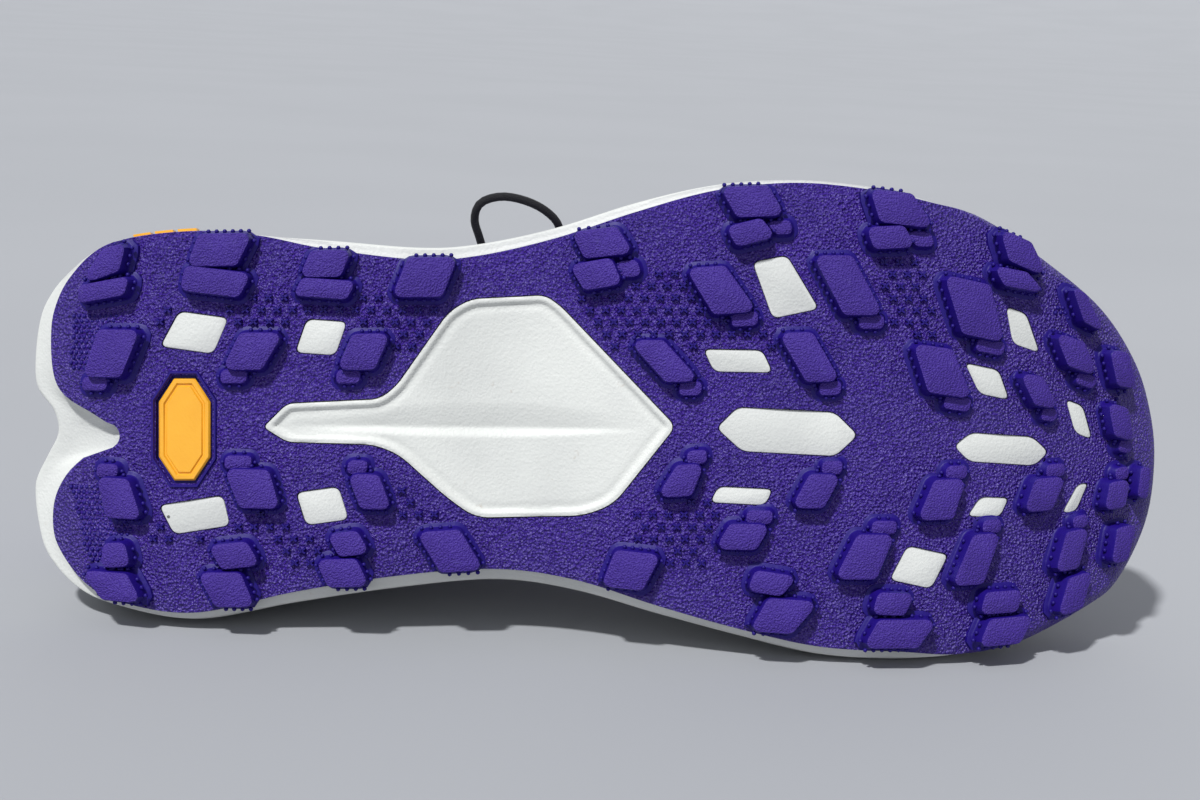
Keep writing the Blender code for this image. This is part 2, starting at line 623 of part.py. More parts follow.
def make_heel_counter(look):
    heel = [s for s in spokes_round() if s.at <= .25]
    medial = [s for s in heel if s.direction[1] > .99 and s.at > STATIONS[0]]
    fan = [s for s in heel if s.at <= STATIONS[0]]
    lateral = [s for s in heel if s.direction[1] < -.99 and s.at > STATIONS[0]]

    def high(spoke):
        share = max(0.0, (.29 - along(spoke, spoke.edge) / LENGTH) / .29)
        rim = rim_angle(spoke)
        return cup_angle(spoke) + (rim - cup_angle(spoke)) * (.12 + COUNTER_REACH * 1.2 * share)

    return make_overlay("heel_counter", look, lateral + fan + medial, cup_angle, high)


def eyestay_spokes():
    ends = [at for at in spread(THROAT_TOP + .004, .70, 8)] + [THROAT_END, .74, .75]
    return ends


def make_eyestay(look):
    """The band round the throat: both sides up to its edge, joined over the ridge in front of it."""
    bm = bmesh.new()
    ends = eyestay_spokes()
    for side in (-1, 1):
        outer, inner, free = [], [], []
        for at in ends:
            spoke = spoke_at(at * LENGTH, side)
            rim = rim_angle(spoke)
            narrow = 1 if at < .70 else math.sqrt(max(.02, 1 - ((at - .70) / .0505) ** 2))
            low = angle_below(spoke, rim, EYESTAY_BAND * narrow)
            angles = spread(low, rim, 3)
            outer.append([bm.verts.new(upper_point(spoke, a, LAYER_GAP + OVERLAY)) for a in angles])
            inner.append([bm.verts.new(upper_point(spoke, a, LAYER_GAP)) for a in angles])
            free.append(rim < math.pi / 2 - 1e-6)
        strip(bm, outer, False)
        strip(bm, [row[::-1] for row in inner], False)
        strip(bm, [[b[0], a[0]] for a, b in zip(outer, inner)], False)
        for i in range(len(ends) - 1):
            if free[i] or free[i + 1]:
                strip(bm, [[outer[i][-1], inner[i][-1]], [outer[i + 1][-1], inner[i + 1][-1]]], False)
        strip(bm, [outer[0], inner[0]], False)
        strip(bm, [inner[-1], outer[-1]], False)
    return finish_mesh(bm, "eyestay", look)


def make_tongue(look):
    """A padded strip under the throat, from over the toes up past the collar."""
    bm = bmesh.new()
    tuck = WALL + LAYER_GAP + GAP
    outer, inner = [], []
    for at in spread(TONGUE_TO, TONGUE_FROM, 12):
        full = min(1.0, (TONGUE_TO - at) / .08) ** .5
        top = min(1.0, (at - TONGUE_FROM + .004) / .03) ** .5
        half = TONGUE_WIDTH / 2 * (.55 + .45 * full) * (.75 + .25 * top)
        high, low = [], []
        for side, shares in ((-1, (1, .67, .33)), (1, (0, .33, .67, 1))):
            spoke = spoke_at(at * LENGTH, side)
            for share in shares:
                angle = angle_at_half(spoke, half * share)
                thick = TONGUE_THICK * (1 - .5 * share ** 4)
                high.append(bm.verts.new(upper_point(spoke, angle, -tuck)))
                low.append(bm.verts.new(upper_point(spoke, angle, -tuck - thick)))
        outer.append(high)
        inner.append(low)
    strip(bm, outer, False)
    strip(bm, [row[::-1] for row in inner], False)
    strip(bm, [[b[0], a[0]] for a, b in zip(outer, inner)], False)
    strip(bm, [[a[-1], b[-1]] for a, b in zip(outer, inner)], False)
    strip(bm, [inner[0], outer[0]], False)
    strip(bm, [outer[-1], inner[-1]], False)
    return finish_mesh(bm, "tongue", look)


def four_sided(row, size):
    """The corners of a lug or window, with its rake, pinch, points and turn."""
    wide = row.wide * size / 2
    lateral, medial = (row.long + row.pinch / 2) * size / 2, (row.long - row.pinch / 2) * size / 2
    lean = row.rake * size / 2
    corners = [(-lateral - lean, -wide), (lateral - lean, -wide), (medial + lean, wide), (-medial + lean, wide)]
    point = getattr(row, "point", 0) * size
    if point:
        out = row.long * size / 2 + point
        corners = [corners[0], corners[1], (out, 0), corners[2], corners[3], (-out, 0)]
    return placed(corners, row)


def placed(corners, row):
    """Corners turned and moved to the row's place."""
    turn = math.radians(row.turn)
    cos, sin = math.cos(turn), math.sin(turn)
    x, y = row.at * LENGTH, row.across * BALL_WIDTH
    return [(x + a * cos - b * sin, y + a * sin + b * cos) for a, b in corners]


def rounded(corners, radii, steps=2):
    """An outline with each corner rounded off."""
    points = []
    for i, corner in enumerate(corners):
        here = Vector(corner)
        before, after = Vector(corners[i - 1]) - here, Vector(corners[(i + 1) % len(corners)]) - here
        trim = min(radii[i], .45 * before.length, .45 * after.length)
        start, end = here + before.normalized() * trim, here + after.normalized() * trim
        for step in range(steps + 1):
            s = step / steps
            points.append(tuple(start * (1 - s) ** 2 + here * 2 * s * (1 - s) + end * s * s))
    return points


def inset(outline, distance):
    """An outline moved inwards."""
    area = sum(a[0] * b[1] - b[0] * a[1] for a, b in zip(outline, outline[1:] + outline[:1]))
    sign = 1 if area > 0 else -1
    moved = []
    for i, point in enumerate(outline):
        here = Vector(point)
        one = (here - Vector(outline[i - 1])).normalized()
        two = (Vector(outline[(i + 1) % len(outline)]) - here).normalized()
        normal = Vector((-(one.y + two.y), one.x + two.x)) * sign
        normal.normalize()
        slant = max(.5, normal.dot(Vector((-one.y, one.x)) * sign))
        moved.append(tuple(here + normal * distance / slant))
    return moved


def add_prism(bm, below, above):
    """A closed prism between two rings of points."""
    low = [bm.verts.new(p) for p in below]
    high = [bm.verts.new(p) for p in above]
    bm.faces.new(low[::-1])
    bm.faces.new(high)
    for i in range(len(low)):
        following = (i + 1) % len(low)
        bm.faces.new((low[i], low[following], high[following], high[i]))


def add_plug(bm, outline, below, above):
    """A prism through the sole's face: its ends lie below and above the outsole's outer face."""
    add_prism(bm, [(x, y, base_at(x, y) + below) for x, y in outline],
              [(x, y, base_at(x, y) + above) for x, y in outline])


def cutter(bm, name):
    """A hidden solid for a Boolean."""
    made = finish_mesh(bm, name, smooth=False)
    made.hide_render = True
    made.display_type = "WIRE"
    return made


def boolean(target, other, operation, itself=False):
    change = target.modifiers.new(other.name, "BOOLEAN")
    change.operation = operation
    change.solver = "EXACT"
    change.object = other
    change.use_self = itself


def add_lug(bm, corners, tall):
    """A drafted block whose foot is in the outsole's sheet and whose top is flat."""
    x = sum(c[0] for c in corners) / len(corners)
    slope = (ground(x + .001) - ground(x - .001)) / .002
    slant = math.hypot(1, slope)
    lean = slope / slant * LUG_HEIGHT * tall
    top = LUG_HEIGHT + ground(x - lean) - LUG_HEIGHT * tall / slant
    tops = [(a, b, top + slope * (a - x)) for a, b in corners]
    feet = []
    for a, b in inset(corners, -LUG_DRAFT * tall):
        feet.append((a - lean, b, base_at(a - lean, b) + LUG_ROOT))
    add_prism(bm, tops, feet)


def tab_corners(lug):
    """The low step beside a lug, on the side of the centre line, where the lug's rake leads."""
    inner = 1 if lug.across < 0 else -1
    ahead = math.copysign(1, inner * lug.rake)
    long = .62 * lug.long * LUG_SIZE
    x = inner * lug.rake * LUG_SIZE / 2 + ahead * (.24 * lug.long * LUG_SIZE)
    y = inner * (lug.wide * LUG_SIZE / 2 + TAB_GAP + TAB_WIDTH / 2)
    half = TAB_WIDTH / 2
    corners = [(x - long / 2, y - half), (x + long / 2, y - half), (x + long / 2, y + half), (x - long / 2, y + half)]
    return placed(corners, lug)


def badge_corners():
    """The badge's eight corners round its middle."""
    row = Lug(.1427, -.002, 0, 0, 0, 0, 0, 1, 0)
    a, b = BADGE_LENGTH / 2, BADGE_WIDTH / 2
    c, d = a * .40, b * .54
    return placed([(-c, -b), (c, -b), (a, -d), (a, d), (c, b), (-c, b), (-a, d), (-a, -d)], row)


def window_outlines(inside=0.0):
    found = []
    for row in WINDOWS:
        corners = inset(four_sided(row, WINDOW_SIZE), inside)
        found.append(rounded(corners, [WINDOW_ROUND] * len(corners)))
    return found


def arch_outline(inside=0.0):
    corners = inset([(c.at * LENGTH, c.across * BALL_WIDTH) for c in ARCH], inside)
    return rounded(corners, [max(BEAD_WIDTH / 2, c.radius * WINDOW_SIZE - inside) for c in ARCH])


def make_outsole(look):
    outsole = body_of_spokes("outsole", outsole_profile, look)
    holes = bmesh.new()
    for outline in window_outlines() + [arch_outline(), inset(badge_corners(), -GAP)]:
        add_plug(holes, outline, -2 * SHEET, 3 * SHEET)
    boolean(outsole, cutter(holes, "outsole_windows"), "DIFFERENCE")
    blocks = bmesh.new()
    for lug in LUGS:
        add_lug(blocks, four_sided(lug, LUG_SIZE), lug.tall)
        if lug.tab:
            add_lug(blocks, tab_corners(lug), TAB_HEIGHT)
    boolean(outsole, cutter(blocks, "outsole_lugs"), "UNION", itself=True)
    return outsole


def make_midsole(look):
    midsole = body_of_spokes("midsole", midsole_profile, look)
    depth = SHEET + GAP + 1.5 * ARCH_RISE
    pads = bmesh.new()
    for outline in window_outlines(GAP):
        add_plug(pads, outline, PAD_SUNK, depth)
    add_plug(pads, arch_outline(GAP), -BEAD_PROUD, depth)
    boolean(midsole, cutter(pads, "midsole_pads"), "UNION")
    pocket = bmesh.new()
    add_plug(pocket, arch_outline(GAP + BEAD_WIDTH), -4 * BEAD_PROUD, PAD_SUNK)
    boolean(midsole, cutter(pocket, "arch_pocket"), "DIFFERENCE")
    groove = bmesh.new()
    rows = []
    for row in TROUGH:
        x = row.at * LENGTH
        face = LUG_HEIGHT + ground(x)
        ys = [row.lateral * BALL_WIDTH, row.bottom * BALL_WIDTH, row.medial * BALL_WIDTH]
        deep = row.deep * TROUGH_DEPTH + PAD_SUNK
        rows.append([groove.verts.new((x, y, face + z)) for y, z in
                     ((ys[0], PAD_SUNK), (ys[1], deep), (ys[2], PAD_SUNK), (ys[2], -SHEET), (ys[0], -SHEET))])
    strip(groove, [row + row[:1] for row in rows], False)
    groove.faces.new(rows[0][::-1])
    groove.faces.new(rows[-1])
    boolean(midsole, cutter(groove, "arch_trough"), "DIFFERENCE")
    return midsole


def make_badge(look):
    bm = bmesh.new()
    add_plug(bm, badge_corners(), BADGE_SUNK, min(BADGE_SUNK + BADGE_THICK, SHEET))
    return finish_mesh(bm, "badge", look)


def make_side_bars(look):
    """Plain bars on the lateral side of the heel, on the widest line of the foam."""
    start = .092 * LENGTH
    for number in range(3):
        bm = bmesh.new()
        rows = []
        for x in spread(start + number * BAR_PITCH, start + number * BAR_PITCH + BAR_LENGTH, 3):
            spoke = Spoke(HEEL_CENTRE, Vector((x - HEEL_CENTRE[0], -.047)).normalized())
            low = base(along(spoke, spoke.foam), 1) + SHEET + GAP + FLARE_HEIGHT * .5
            ring = [(spoke.foam + GAP, low), (spoke.foam + GAP + BAR_PROUD, low),
                    (spoke.foam + GAP + BAR_PROUD, low + BAR_TALL), (spoke.foam + GAP, low + BAR_TALL)]
            rows.append([bm.verts.new(spoke.point(*corner)) for corner in ring])
        strip(bm, [row + row[:1] for row in rows], False)
        bm.faces.new(rows[0][::-1])
        bm.faces.new(rows[-1])
        finish_mesh(bm, f"side_bar_{number + 1}", look)


def eyelet_spots():
    """Each eyelet's spoke and angle, in pairs from the top down."""
    pairs = []
    for at in spread(THROAT_TOP + .022, .672, EYELETS - 1):
        pair = []
        for side in (-1, 1):
            spoke = spoke_at(at * LENGTH, side)
            pair.append((spoke, angle_at_half(spoke, read(THROAT, at, "half") + EYELET_INSET)))
        pairs.append(pair)
    return pairs


def cut_eyelets(pieces):
    bm = bmesh.new()
    for pair in eyelet_spots():
        for spoke, angle in pair:
            here = Vector(upper_point(spoke, angle, 0))
            out = (Vector(upper_point(spoke, angle, .004)) - here).normalized()
            turn = Vector((0, 0, 1)).rotation_difference(out).to_matrix().to_4x4()
            bmesh.ops.create_cone(bm, cap_ends=True, segments=8, radius1=EYELET_RADIUS, radius2=EYELET_RADIUS,
                                  depth=4 * (WALL + OVERLAY), matrix=Matrix.Translation(here) @ turn)
    holes = cutter(bm, "eyelet_holes")
    for piece in pieces:
        boolean(piece, holes, "DIFFERENCE")


def add_tube(bm, points, radius, sides=4):
    """A round tube along points, closed at both ends."""
    rows = []
    for i, point in enumerate(points):
        here = Vector(point)
        ahead = (Vector(points[min(i + 1, len(points) - 1)]) - Vector(points[max(i - 1, 0)])).normalized()
        first = ahead.cross(Vector((0, 0, 1))).normalized()
        second = ahead.cross(first)
        ring = [here + (first * math.cos(2 * math.pi * k / sides) + second * math.sin(2 * math.pi * k / sides)) * radius
                for k in range(sides)]
        rows.append([bm.verts.new(p) for p in ring])
    strip(bm, [row + row[:1] for row in rows], False)
    bm.faces.new(rows[0][::-1])
    bm.faces.new(rows[-1])


def lace_path(start, end, steps=6):
    """From one eyelet to another, over the tongue and clear of the eyestay."""
    points = []
    for i in range(steps + 1):
        share = i / steps
        x = start[0].origin[0] * (1 - share) + end[0].origin[0] * share
        widths = []
        for spoke, angle in (start, end):
            widths.append((Vector(upper_point(spoke, angle, 0)).y - spoke.origin[1]))
        y = widths[0] * (1 - share) + widths[1] * share
        spoke = spoke_at(x, -1 if y < 0 else 1)
        points.append(Vector(upper_point(spoke, angle_at_half(spoke, abs(y)), LACE_OUT)))
    for end, beside in ((0, 1), (-1, -2)):
        points[end] += (points[end] - points[beside]).normalized() * LACE_RADIUS
    return points


def make_lace_crossings(look):
    pairs = eyelet_spots()
    runs = [lace_path(pairs[-1][0], pairs[-1][1]), lace_path(pairs[0][0], pairs[0][1])]
    for upper, lower in zip(pairs, pairs[1:]):
        runs.append(lace_path(lower[0], upper[1]))
        runs.append(lace_path(lower[1], upper[0]))
    first = bmesh.new()
    add_tube(first, runs[0], LACE_RADIUS)
    crossings = finish_mesh(first, "lace_crossings", look)
    rest = bmesh.new()
    for number, run in enumerate(runs[1:]):
        add_tube(rest, run, LACE_RADIUS * (.96 if number % 2 else .92))
    boolean(crossings, cutter(rest, "lace_runs"), "UNION", itself=True)
    return crossings


def over(at, across, out):
    """A place over the upper."""
    spoke = spoke_at(at * LENGTH, -1 if across < 0 else 1)
    return Vector(upper_point(spoke, angle_at_half(spoke, abs(across)), out))


def knot_middle():
    return over(KNOT_AT, 0, LACE_OUT + LACE_RADIUS + GAP + KNOT_SIZE[2])


def make_knot(look):
    bm = bmesh.new()
    bmesh.ops.create_icosphere(bm, subdivisions=2, radius=1,
                               matrix=Matrix.Translation(knot_middle()) @ Matrix.Diagonal((*KNOT_SIZE, 1)))
    return finish_mesh(bm, "lace_knot", look)


def smooth_line(points, spacing):
    """Points read at even steps from a smooth curve through the given ones."""
    rows = np.array(points, float)
    dense = []
    for i in range(len(rows) - 1):
        around = [rows[min(max(i + k, 0), len(rows) - 1)] for k in (-1, 0, 1, 2)]
        dense += [hermite(*around, s / 12) for s in range(12)]
    dense = np.array(dense + [rows[-1]])
    run = np.concatenate([[0], np.cumsum(np.linalg.norm(np.diff(dense, axis=0), axis=1))])
    count = max(4, round(run[-1] / spacing))
    places = np.linspace(0, run[-1], count + 1)
    return np.stack([np.interp(places, run, dense[:, k]) for k in range(3)], axis=1)


def make_cord(name, points, look):
    line = smooth_line(points, 5 * LACE_RADIUS)
    curve = bpy.data.curves.new(name, "CURVE")
    curve.dimensions = "3D"
    curve.bevel_depth = LACE_RADIUS
    curve.bevel_resolution = 2
    curve.use_fill_caps = True
    spline = curve.splines.new("POLY")
    spline.points.add(len(line) - 1)
    for point, place in zip(spline.points, line):
        point.co = (*place, 1)
    made = bpy.data.objects.new(name, curve)
    bpy.context.scene.collection.objects.link(made)
    curve.materials.append(look)
    return made


def solid_points(pieces):
    """The evaluated corners of some pieces, and the centre of their volume."""
    graph = bpy.context.evaluated_depsgraph_get()
    points, weight, centre = [], 0.0, Vector()
    for piece in pieces:
        evaluated = piece.evaluated_get(graph)
        mesh = evaluated.to_mesh()
        mesh.calc_loop_triangles()
        places = [v.co.copy() for v in mesh.vertices]
        for triangle in mesh.loop_triangles:
            a, b, c = (places[i] for i in triangle.vertices)
            volume = a.dot(b.cross(c)) / 6
            weight += volume
            centre += volume * (a + b + c) / 4
        points += places
        evaluated.to_mesh_clear()
    return points, centre / weight


def lying_pose(pieces):
    """The matrix that lays the shoe on the medial side, on the face of its hull that it rests on."""
    points, centre = solid_points(pieces)
    bm = bmesh.new()
    for point in points:
        bm.verts.new(point)
    bmesh.ops.convex_hull(bm, input=bm.verts)
    best, down = -1.0, None
    for face in bm.faces:
        normal = face.normal.copy()
        if normal.dot(face.calc_center_median() - centre) < 0:
            normal.negate()
        if normal.y <= max(best, .8):
            continue
        foot = centre + normal * normal.dot(face.verts[0].co - centre)
        turns = []
        corners = [v.co for v in face.verts]
        for a, b in zip(corners, corners[1:] + corners[:1]):
            turns.append((b - a).cross(foot - a).dot(normal))
        if min(turns) >= 0 or max(turns) <= 0:
            best, down = normal.y, normal
    bm.free()
    forward = (Vector((1, 0, 0)) - down * down.x).normalized()
    up = -down
    turn = Matrix((forward, up.cross(forward), up)).to_4x4()
    placed_points = [turn @ p for p in points]
    low = [min(p[k] for p in placed_points) for k in range(3)]
    high = [max(p[k] for p in placed_points) for k in range(3)]
    return Matrix.Translation((-(low[0] + high[0]) / 2, -(low[1] + high[1]) / 2, -low[2])) @ turn


def main():
    clear_scene()
    rubber = material("outsole_rubber", (.055, .035, .32), .62)
    foam = material("midsole_foam", (.78, .80, .80), .55)
    amber = material("badge_plastic", (.95, .60, .08), .35)
    mesh_cloth = material("upper_mesh", (.72, .70, .78), .85)
    overlay = material("overlay_film", (.10, .07, .42), .45)
    lining = material("lining_cloth", (.16, .15, .22), .9)
    black = material("lace_cord", (.012, .012, .014), .8)
    make_outsole(rubber)
    make_midsole(foam)
    make_badge(amber)
    make_side_bars(amber)
    body_of_spokes("insole", insole_profile, lining)
    upper = make_upper(mesh_cloth)
    make_tongue(mesh_cloth)
    eyestay = make_eyestay(overlay)
    cut_eyelets([upper, eyestay])
    make_toe_cap(overlay)
    make_heel_counter(overlay)
    make_lace_crossings(black)
    make_knot(black)
    for name, rows in (("lace_loop_lateral", LATERAL_LOOP), ("lace_loop_medial", MEDIAL_LOOP)):
        make_cord(name, [knot_middle() + Vector(row) for row in rows], black)
    for name, rows in (("lace_end_lateral", LATERAL_END), ("lace_end_medial", MEDIAL_END)):
        make_cord(name, [over(*row) for row in rows], black)
    lying = bpy.data.objects.new("lying", None)
    bpy.context.scene.collection.objects.link(lying)
    solids = [item for item in bpy.data.objects if item.type == "MESH" and not item.hide_render]
    lying.matrix_world = lying_pose([item for item in solids if item.name != "lace_knot"])
    for item in bpy.data.objects:
        if item is not lying:
            item.parent = lying


main()
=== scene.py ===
"""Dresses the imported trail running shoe: its rubber, foam, knit, film, stitches and laces, and a plain studio.

The shoe's own frame is used for modelling: x runs from heel to toe, y to the medial side and z up from the
ground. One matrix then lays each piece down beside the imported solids.
"""

import json
import math
from collections import namedtuple

import bmesh
import bpy
import numpy as np
from mathutils import Matrix, Vector
from mathutils.bvhtree import BVHTree


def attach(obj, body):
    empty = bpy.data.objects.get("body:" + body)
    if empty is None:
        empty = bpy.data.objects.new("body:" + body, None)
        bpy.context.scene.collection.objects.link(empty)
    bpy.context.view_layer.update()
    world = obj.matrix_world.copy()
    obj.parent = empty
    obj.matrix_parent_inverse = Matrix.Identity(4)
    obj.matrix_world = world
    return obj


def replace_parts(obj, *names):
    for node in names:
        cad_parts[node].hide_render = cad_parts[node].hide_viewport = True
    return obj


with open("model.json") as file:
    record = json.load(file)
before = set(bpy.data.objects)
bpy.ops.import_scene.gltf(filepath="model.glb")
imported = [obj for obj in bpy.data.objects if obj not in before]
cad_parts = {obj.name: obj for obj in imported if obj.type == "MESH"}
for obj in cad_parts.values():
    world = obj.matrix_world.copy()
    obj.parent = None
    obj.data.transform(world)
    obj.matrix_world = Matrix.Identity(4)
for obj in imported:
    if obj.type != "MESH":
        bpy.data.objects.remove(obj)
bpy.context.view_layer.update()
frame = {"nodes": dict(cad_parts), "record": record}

bl_info = {
    "name": "Trail Running Shoe",
    "version": (1, 0, 0),
    "blender": (4, 5, 0),
    "location": "View3D > Sidebar > Shoe",
    "description": "Builds the looks of a lugged trail running shoe lying on its side",
    "category": "Object",
}

# Sizes of the solids, in metres
LENGTH = 0.284
BALL_WIDTH = 0.117
TOE_SPRING = 0.027
HEEL_RISE = 0.009
ARCH_RISE = 0.0035
EDGE_ROLL = 0.0014
HEEL_STACK = 0.032
BALL_STACK = 0.025
TOE_STACK = 0.039
SHEET = 0.0018
LUG_HEIGHT = 0.0038
LUG_SIZE = 0.010
TAB_HEIGHT = 0.55
TAB_GAP = 0.0002
TAB_WIDTH = 0.0030
TOE_WRAP = 0.010
RIM_SHOWS = 0.003
WINDOW_SIZE = 0.010
WINDOW_ROUND = 0.0018
PAD_SUNK = 0.0003
BEAD_WIDTH = 0.0012
BEAD_PROUD = 0.0004
TROUGH_DEPTH = 0.0011
FLARE_HEIGHT = 0.0045
SIDE_STEP = 0.0012
CUP_ROUND = 0.001
BADGE_LENGTH = 0.0125
BADGE_WIDTH = 0.0247
BADGE_SUNK = 0.0004
SIDE_LEAN = 0.0058
CUP_HEIGHT = 0.006
CUP_WALL = 0.003
WALL = 0.002
COLLAR_PAD = 0.0055
INSOLE_THICK = 0.004
INSOLE_TAPER = 0.04
HEEL_COLLAR = 0.097
ANKLE_COLLAR = 0.072
INSTEP_HEIGHT = 0.114
TOE_BOX_HEIGHT = 0.056
THROAT_WIDTH = 0.032
OVERLAY = 0.0012
EYESTAY_BAND = 0.014
TOE_CAP_REACH = 0.5
COUNTER_REACH = 0.5
EYELETS = 6
EYELET_INSET = 0.006
TONGUE_THICK = 0.004
TONGUE_WIDTH = 0.046
TONGUE_FROM = 0.345
TONGUE_TO = 0.70
TONGUE_LIP = 0.006
QUILT_DEPTH = 0.0006
QUILT_PITCH = 0.011
LACE_RADIUS = 0.0012
KNOT_AT = 0.422
GAP = 0.0003
LAYER_GAP = 0.0005
LACE_OUT = 2 * LAYER_GAP + OVERLAY + 2 * GAP + LACE_RADIUS
STATIONS = (.17, .81)
HEEL_ENDS, ARCH_STARTS, ARCH_ENDS, TOES_START = .15, .28, .56, .64
STEP_UP, STEP_IN = .42, .45

# Sizes of the fine detail, in metres
LUG_CORNER = 0.0013
STUD_RADIUS = 0.00057
STUD_ROW_HEIGHT = 0.0016
STUD_SPACING = 0.0021
STUD_END = 0.0015
CROSS_BAR = (0.0027, 0.00072, 0.0018)
CROSS_TURN = 38
NOTCH_TIP = Vector((0.0214, 0.0014))
NOTCH_RADIUS = 0.0031
NOTCH_HOLLOW = 0.0022
PINHOLE = (0.0367, 0.0209)
PINHOLE_RADIUS = 0.0004
PLATE_CELL = 0.00042
BEAD_AT = 0.0007
VALLEY_AT = 0.0024
VALLEY_DEPTH = 0.00022
EDGE_WIDTH = 0.0009
FILM_LIFT = 0.00105
THREAD_LIFT = 0.00115
THREAD_THICK = 0.00028
STAY_SEAMS = (.0016 / .060, .0030 / .060)  # radians up the section
THROAT_SEAM = 0.0018
FILM_SEAM = 0.0020
COLLAR_SEAM = 0.0075
COLLAR_STITCH = 0.0030
RING_RADIUS = 0.0024
RING_THICK = 0.0005
AGLET_LENGTH = 0.013
CAMERA_PLACE = (0.1408, -0.0073, -0.408)
SHARP_ANGLE = math.radians(42)


def table(kind, rows):
    """Rows of numbers with names for their columns."""
    return [kind(*row) for row in rows]


# The sole's outline, how far the foam shows bare inside it in shares of RIM_SHOWS, and how far the rubber wraps up it
Edge = namedtuple("Edge", "along across bare wrap")
OUTLINE = table(Edge, (
    (.023, .005, 6.0, 0), (.018, -.044, 5.0, 0), (.004, -.083, 3.6, 0), (.000, -.126, 2.5, 0),
    (.003, -.210, 2.1, 0), (.012, -.273, 1.7, 0), (.035, -.335, .9, 0), (.077, -.391, .1, 0),
    (.148, -.412, 0, 0), (.205, -.405, .1, 0), (.261, -.396, .8, 0), (.338, -.382, 1.1, 0),
    (.389, -.390, 1.1, 0), (.458, -.425, 1.0, 0), (.527, -.475, .9, 0), (.596, -.512, .6, 0),
    (.665, -.522, .4, 0), (.734, -.507, .4, 0), (.780, -.480, .2, 0), (.824, -.447, 0, .3),
    (.881, -.367, 0, .8), (.941, -.266, 0, 1), (.978, -.150, 0, 1), (.995, -.040, 0, 1),
    (1.000, .070, 0, 1), (.991, .201, 0, 1), (.962, .325, 0, 1), (.931, .380, 0, 1),
    (.862, .446, 0, .6), (.806, .472, .1, .2), (.752, .481, .8, 0), (.682, .468, .8, 0),
    (.613, .428, .7, 0), (.544, .383, .8, 0), (.475, .337, 1.0, 0), (.406, .315, 1.0, 0),
    (.321, .330, 1.1, 0), (.235, .360, 1.0, 0), (.150, .395, .7, 0), (.079, .368, .6, 0),
    (.042, .333, 1.0, 0), (.013, .264, 1.6, 0), (.003, .191, 1.9, 0), (.000, .128, 2.5, 0),
    (.003, .096, 3.6, 0), (.013, .053, 5.2, 0),
))

# Lugs, with at and across as shares of LENGTH and BALL_WIDTH, and long, wide, rake and pinch in shares of LUG_SIZE
Lug = namedtuple("Lug", "at across long wide rake pinch turn tall tab")
LATERAL_EDGE_LUGS = table(Lug, (
    (.079, -.346, .82, .60, -.58, -.4, -17, 1, 0), (.075, -.288, 1.23, .40, -.14, .1, -9, 1, 0),
    (.175, -.369, 1.22, .75, -.34, .1, -1, 1, 0), (.171, -.304, 1.48, .58, -.14, .2, 7, 1, 0),
    (.265, -.341, .96, .61, -.28, 0, -1, 1, 0), (.264, -.290, 1.26, .42, -.18, 0, 4, 1, 0),
    (.348, -.314, 1.16, .92, -.39, 0, -1, 1, 0), (.497, -.385, 1.11, .65, .29, -.1, -6, 1, 0),
    (.493, -.320, .95, .64, .21, .1, -9, 1, 0), (.520, -.332, .49, .37, .14, .1, -6, .5, 0),
    (.624, -.468, 1.13, .71, .38, 0, -2, 1, 0), (.622, -.405, .90, .50, .19, -.1, -14, 1, 0),
    (.649, -.416, .47, .30, .16, .2, -4, .5, 0), (.749, -.456, 1.19, .74, .48, -.3, 6, 1, 0),
    (.741, -.396, .96, .51, .21, -.1, -3, 1, 0), (.770, -.395, .51, .34, .20, .1, 0, .5, 0),
    (.859, -.371, .98, .62, .60, -.2, 21, 1, 0), (.855, -.314, .98, .41, .45, -.2, 9, 1, 0),
    (.921, -.256, .50, .63, .75, -.2, 25, 1, 0), (.958, -.128, .55, .85, .35, 0, 8, 1, 0),
))
INNER_LUGS = table(Lug, (
    (.082, -.158, .99, 1.12, -.41, .1, 1, 1, 1), (.203, -.162, .97, .86, -.47, .1, 0, 1, 1),
    (.297, -.161, .87, .83, -.39, 0, -1, 1, 1), (.550, -.142, .81, .97, .87, 0, 0, 1, 1),
    (.597, -.287, .97, 1.12, .63, -.1, -4, 1, 1), (.672, -.150, .80, 1.16, .64, 0, -1, 1, 1),
    (.705, -.297, .93, 1.40, .74, 0, 0, 1, 1), (.786, -.122, 1.04, 1.09, .58, -.1, 8, 1, 1),
    (.816, -.251, 1.13, 1.28, .66, .1, 11, 1, 1), (.875, -.081, .63, .69, .54, 0, 10, 1, 1),
    (.911, -.159, .86, .67, .61, 0, 18, 1, 1), (.956, -.015, .59, .75, .40, 0, 15, 1, 1),
    (.089, .139, .82, .93, .33, -.1, 3, 1, 1), (.204, .119, .99, .90, .33, .1, 1, 1, 1),
    (.302, .125, .71, .80, .33, 0, 2, 1, 1), (.565, .102, .72, .73, -.43, -.2, -3, 1, 1),
    (.616, .217, .96, .59, -.34, 0, 1, 1, 1), (.678, .124, .75, .79, -.42, 0, 1, 1, 1),
    (.720, .259, .94, 1.05, -.48, -.1, 1, 1, 1), (.787, .143, .83, .94, -.39, -.1, -1, 1, 1),
    (.818, .268, .74, 1.18, -.56, -.1, -3, 1, 1), (.880, .136, .78, .78, -.39, .1, -3, 1, 1),
    (.907, .255, .63, .92, -.46, 0, -9, 1, 1), (.952, .141, .58, .66, -.23, 0, -6, 1, 1),
))
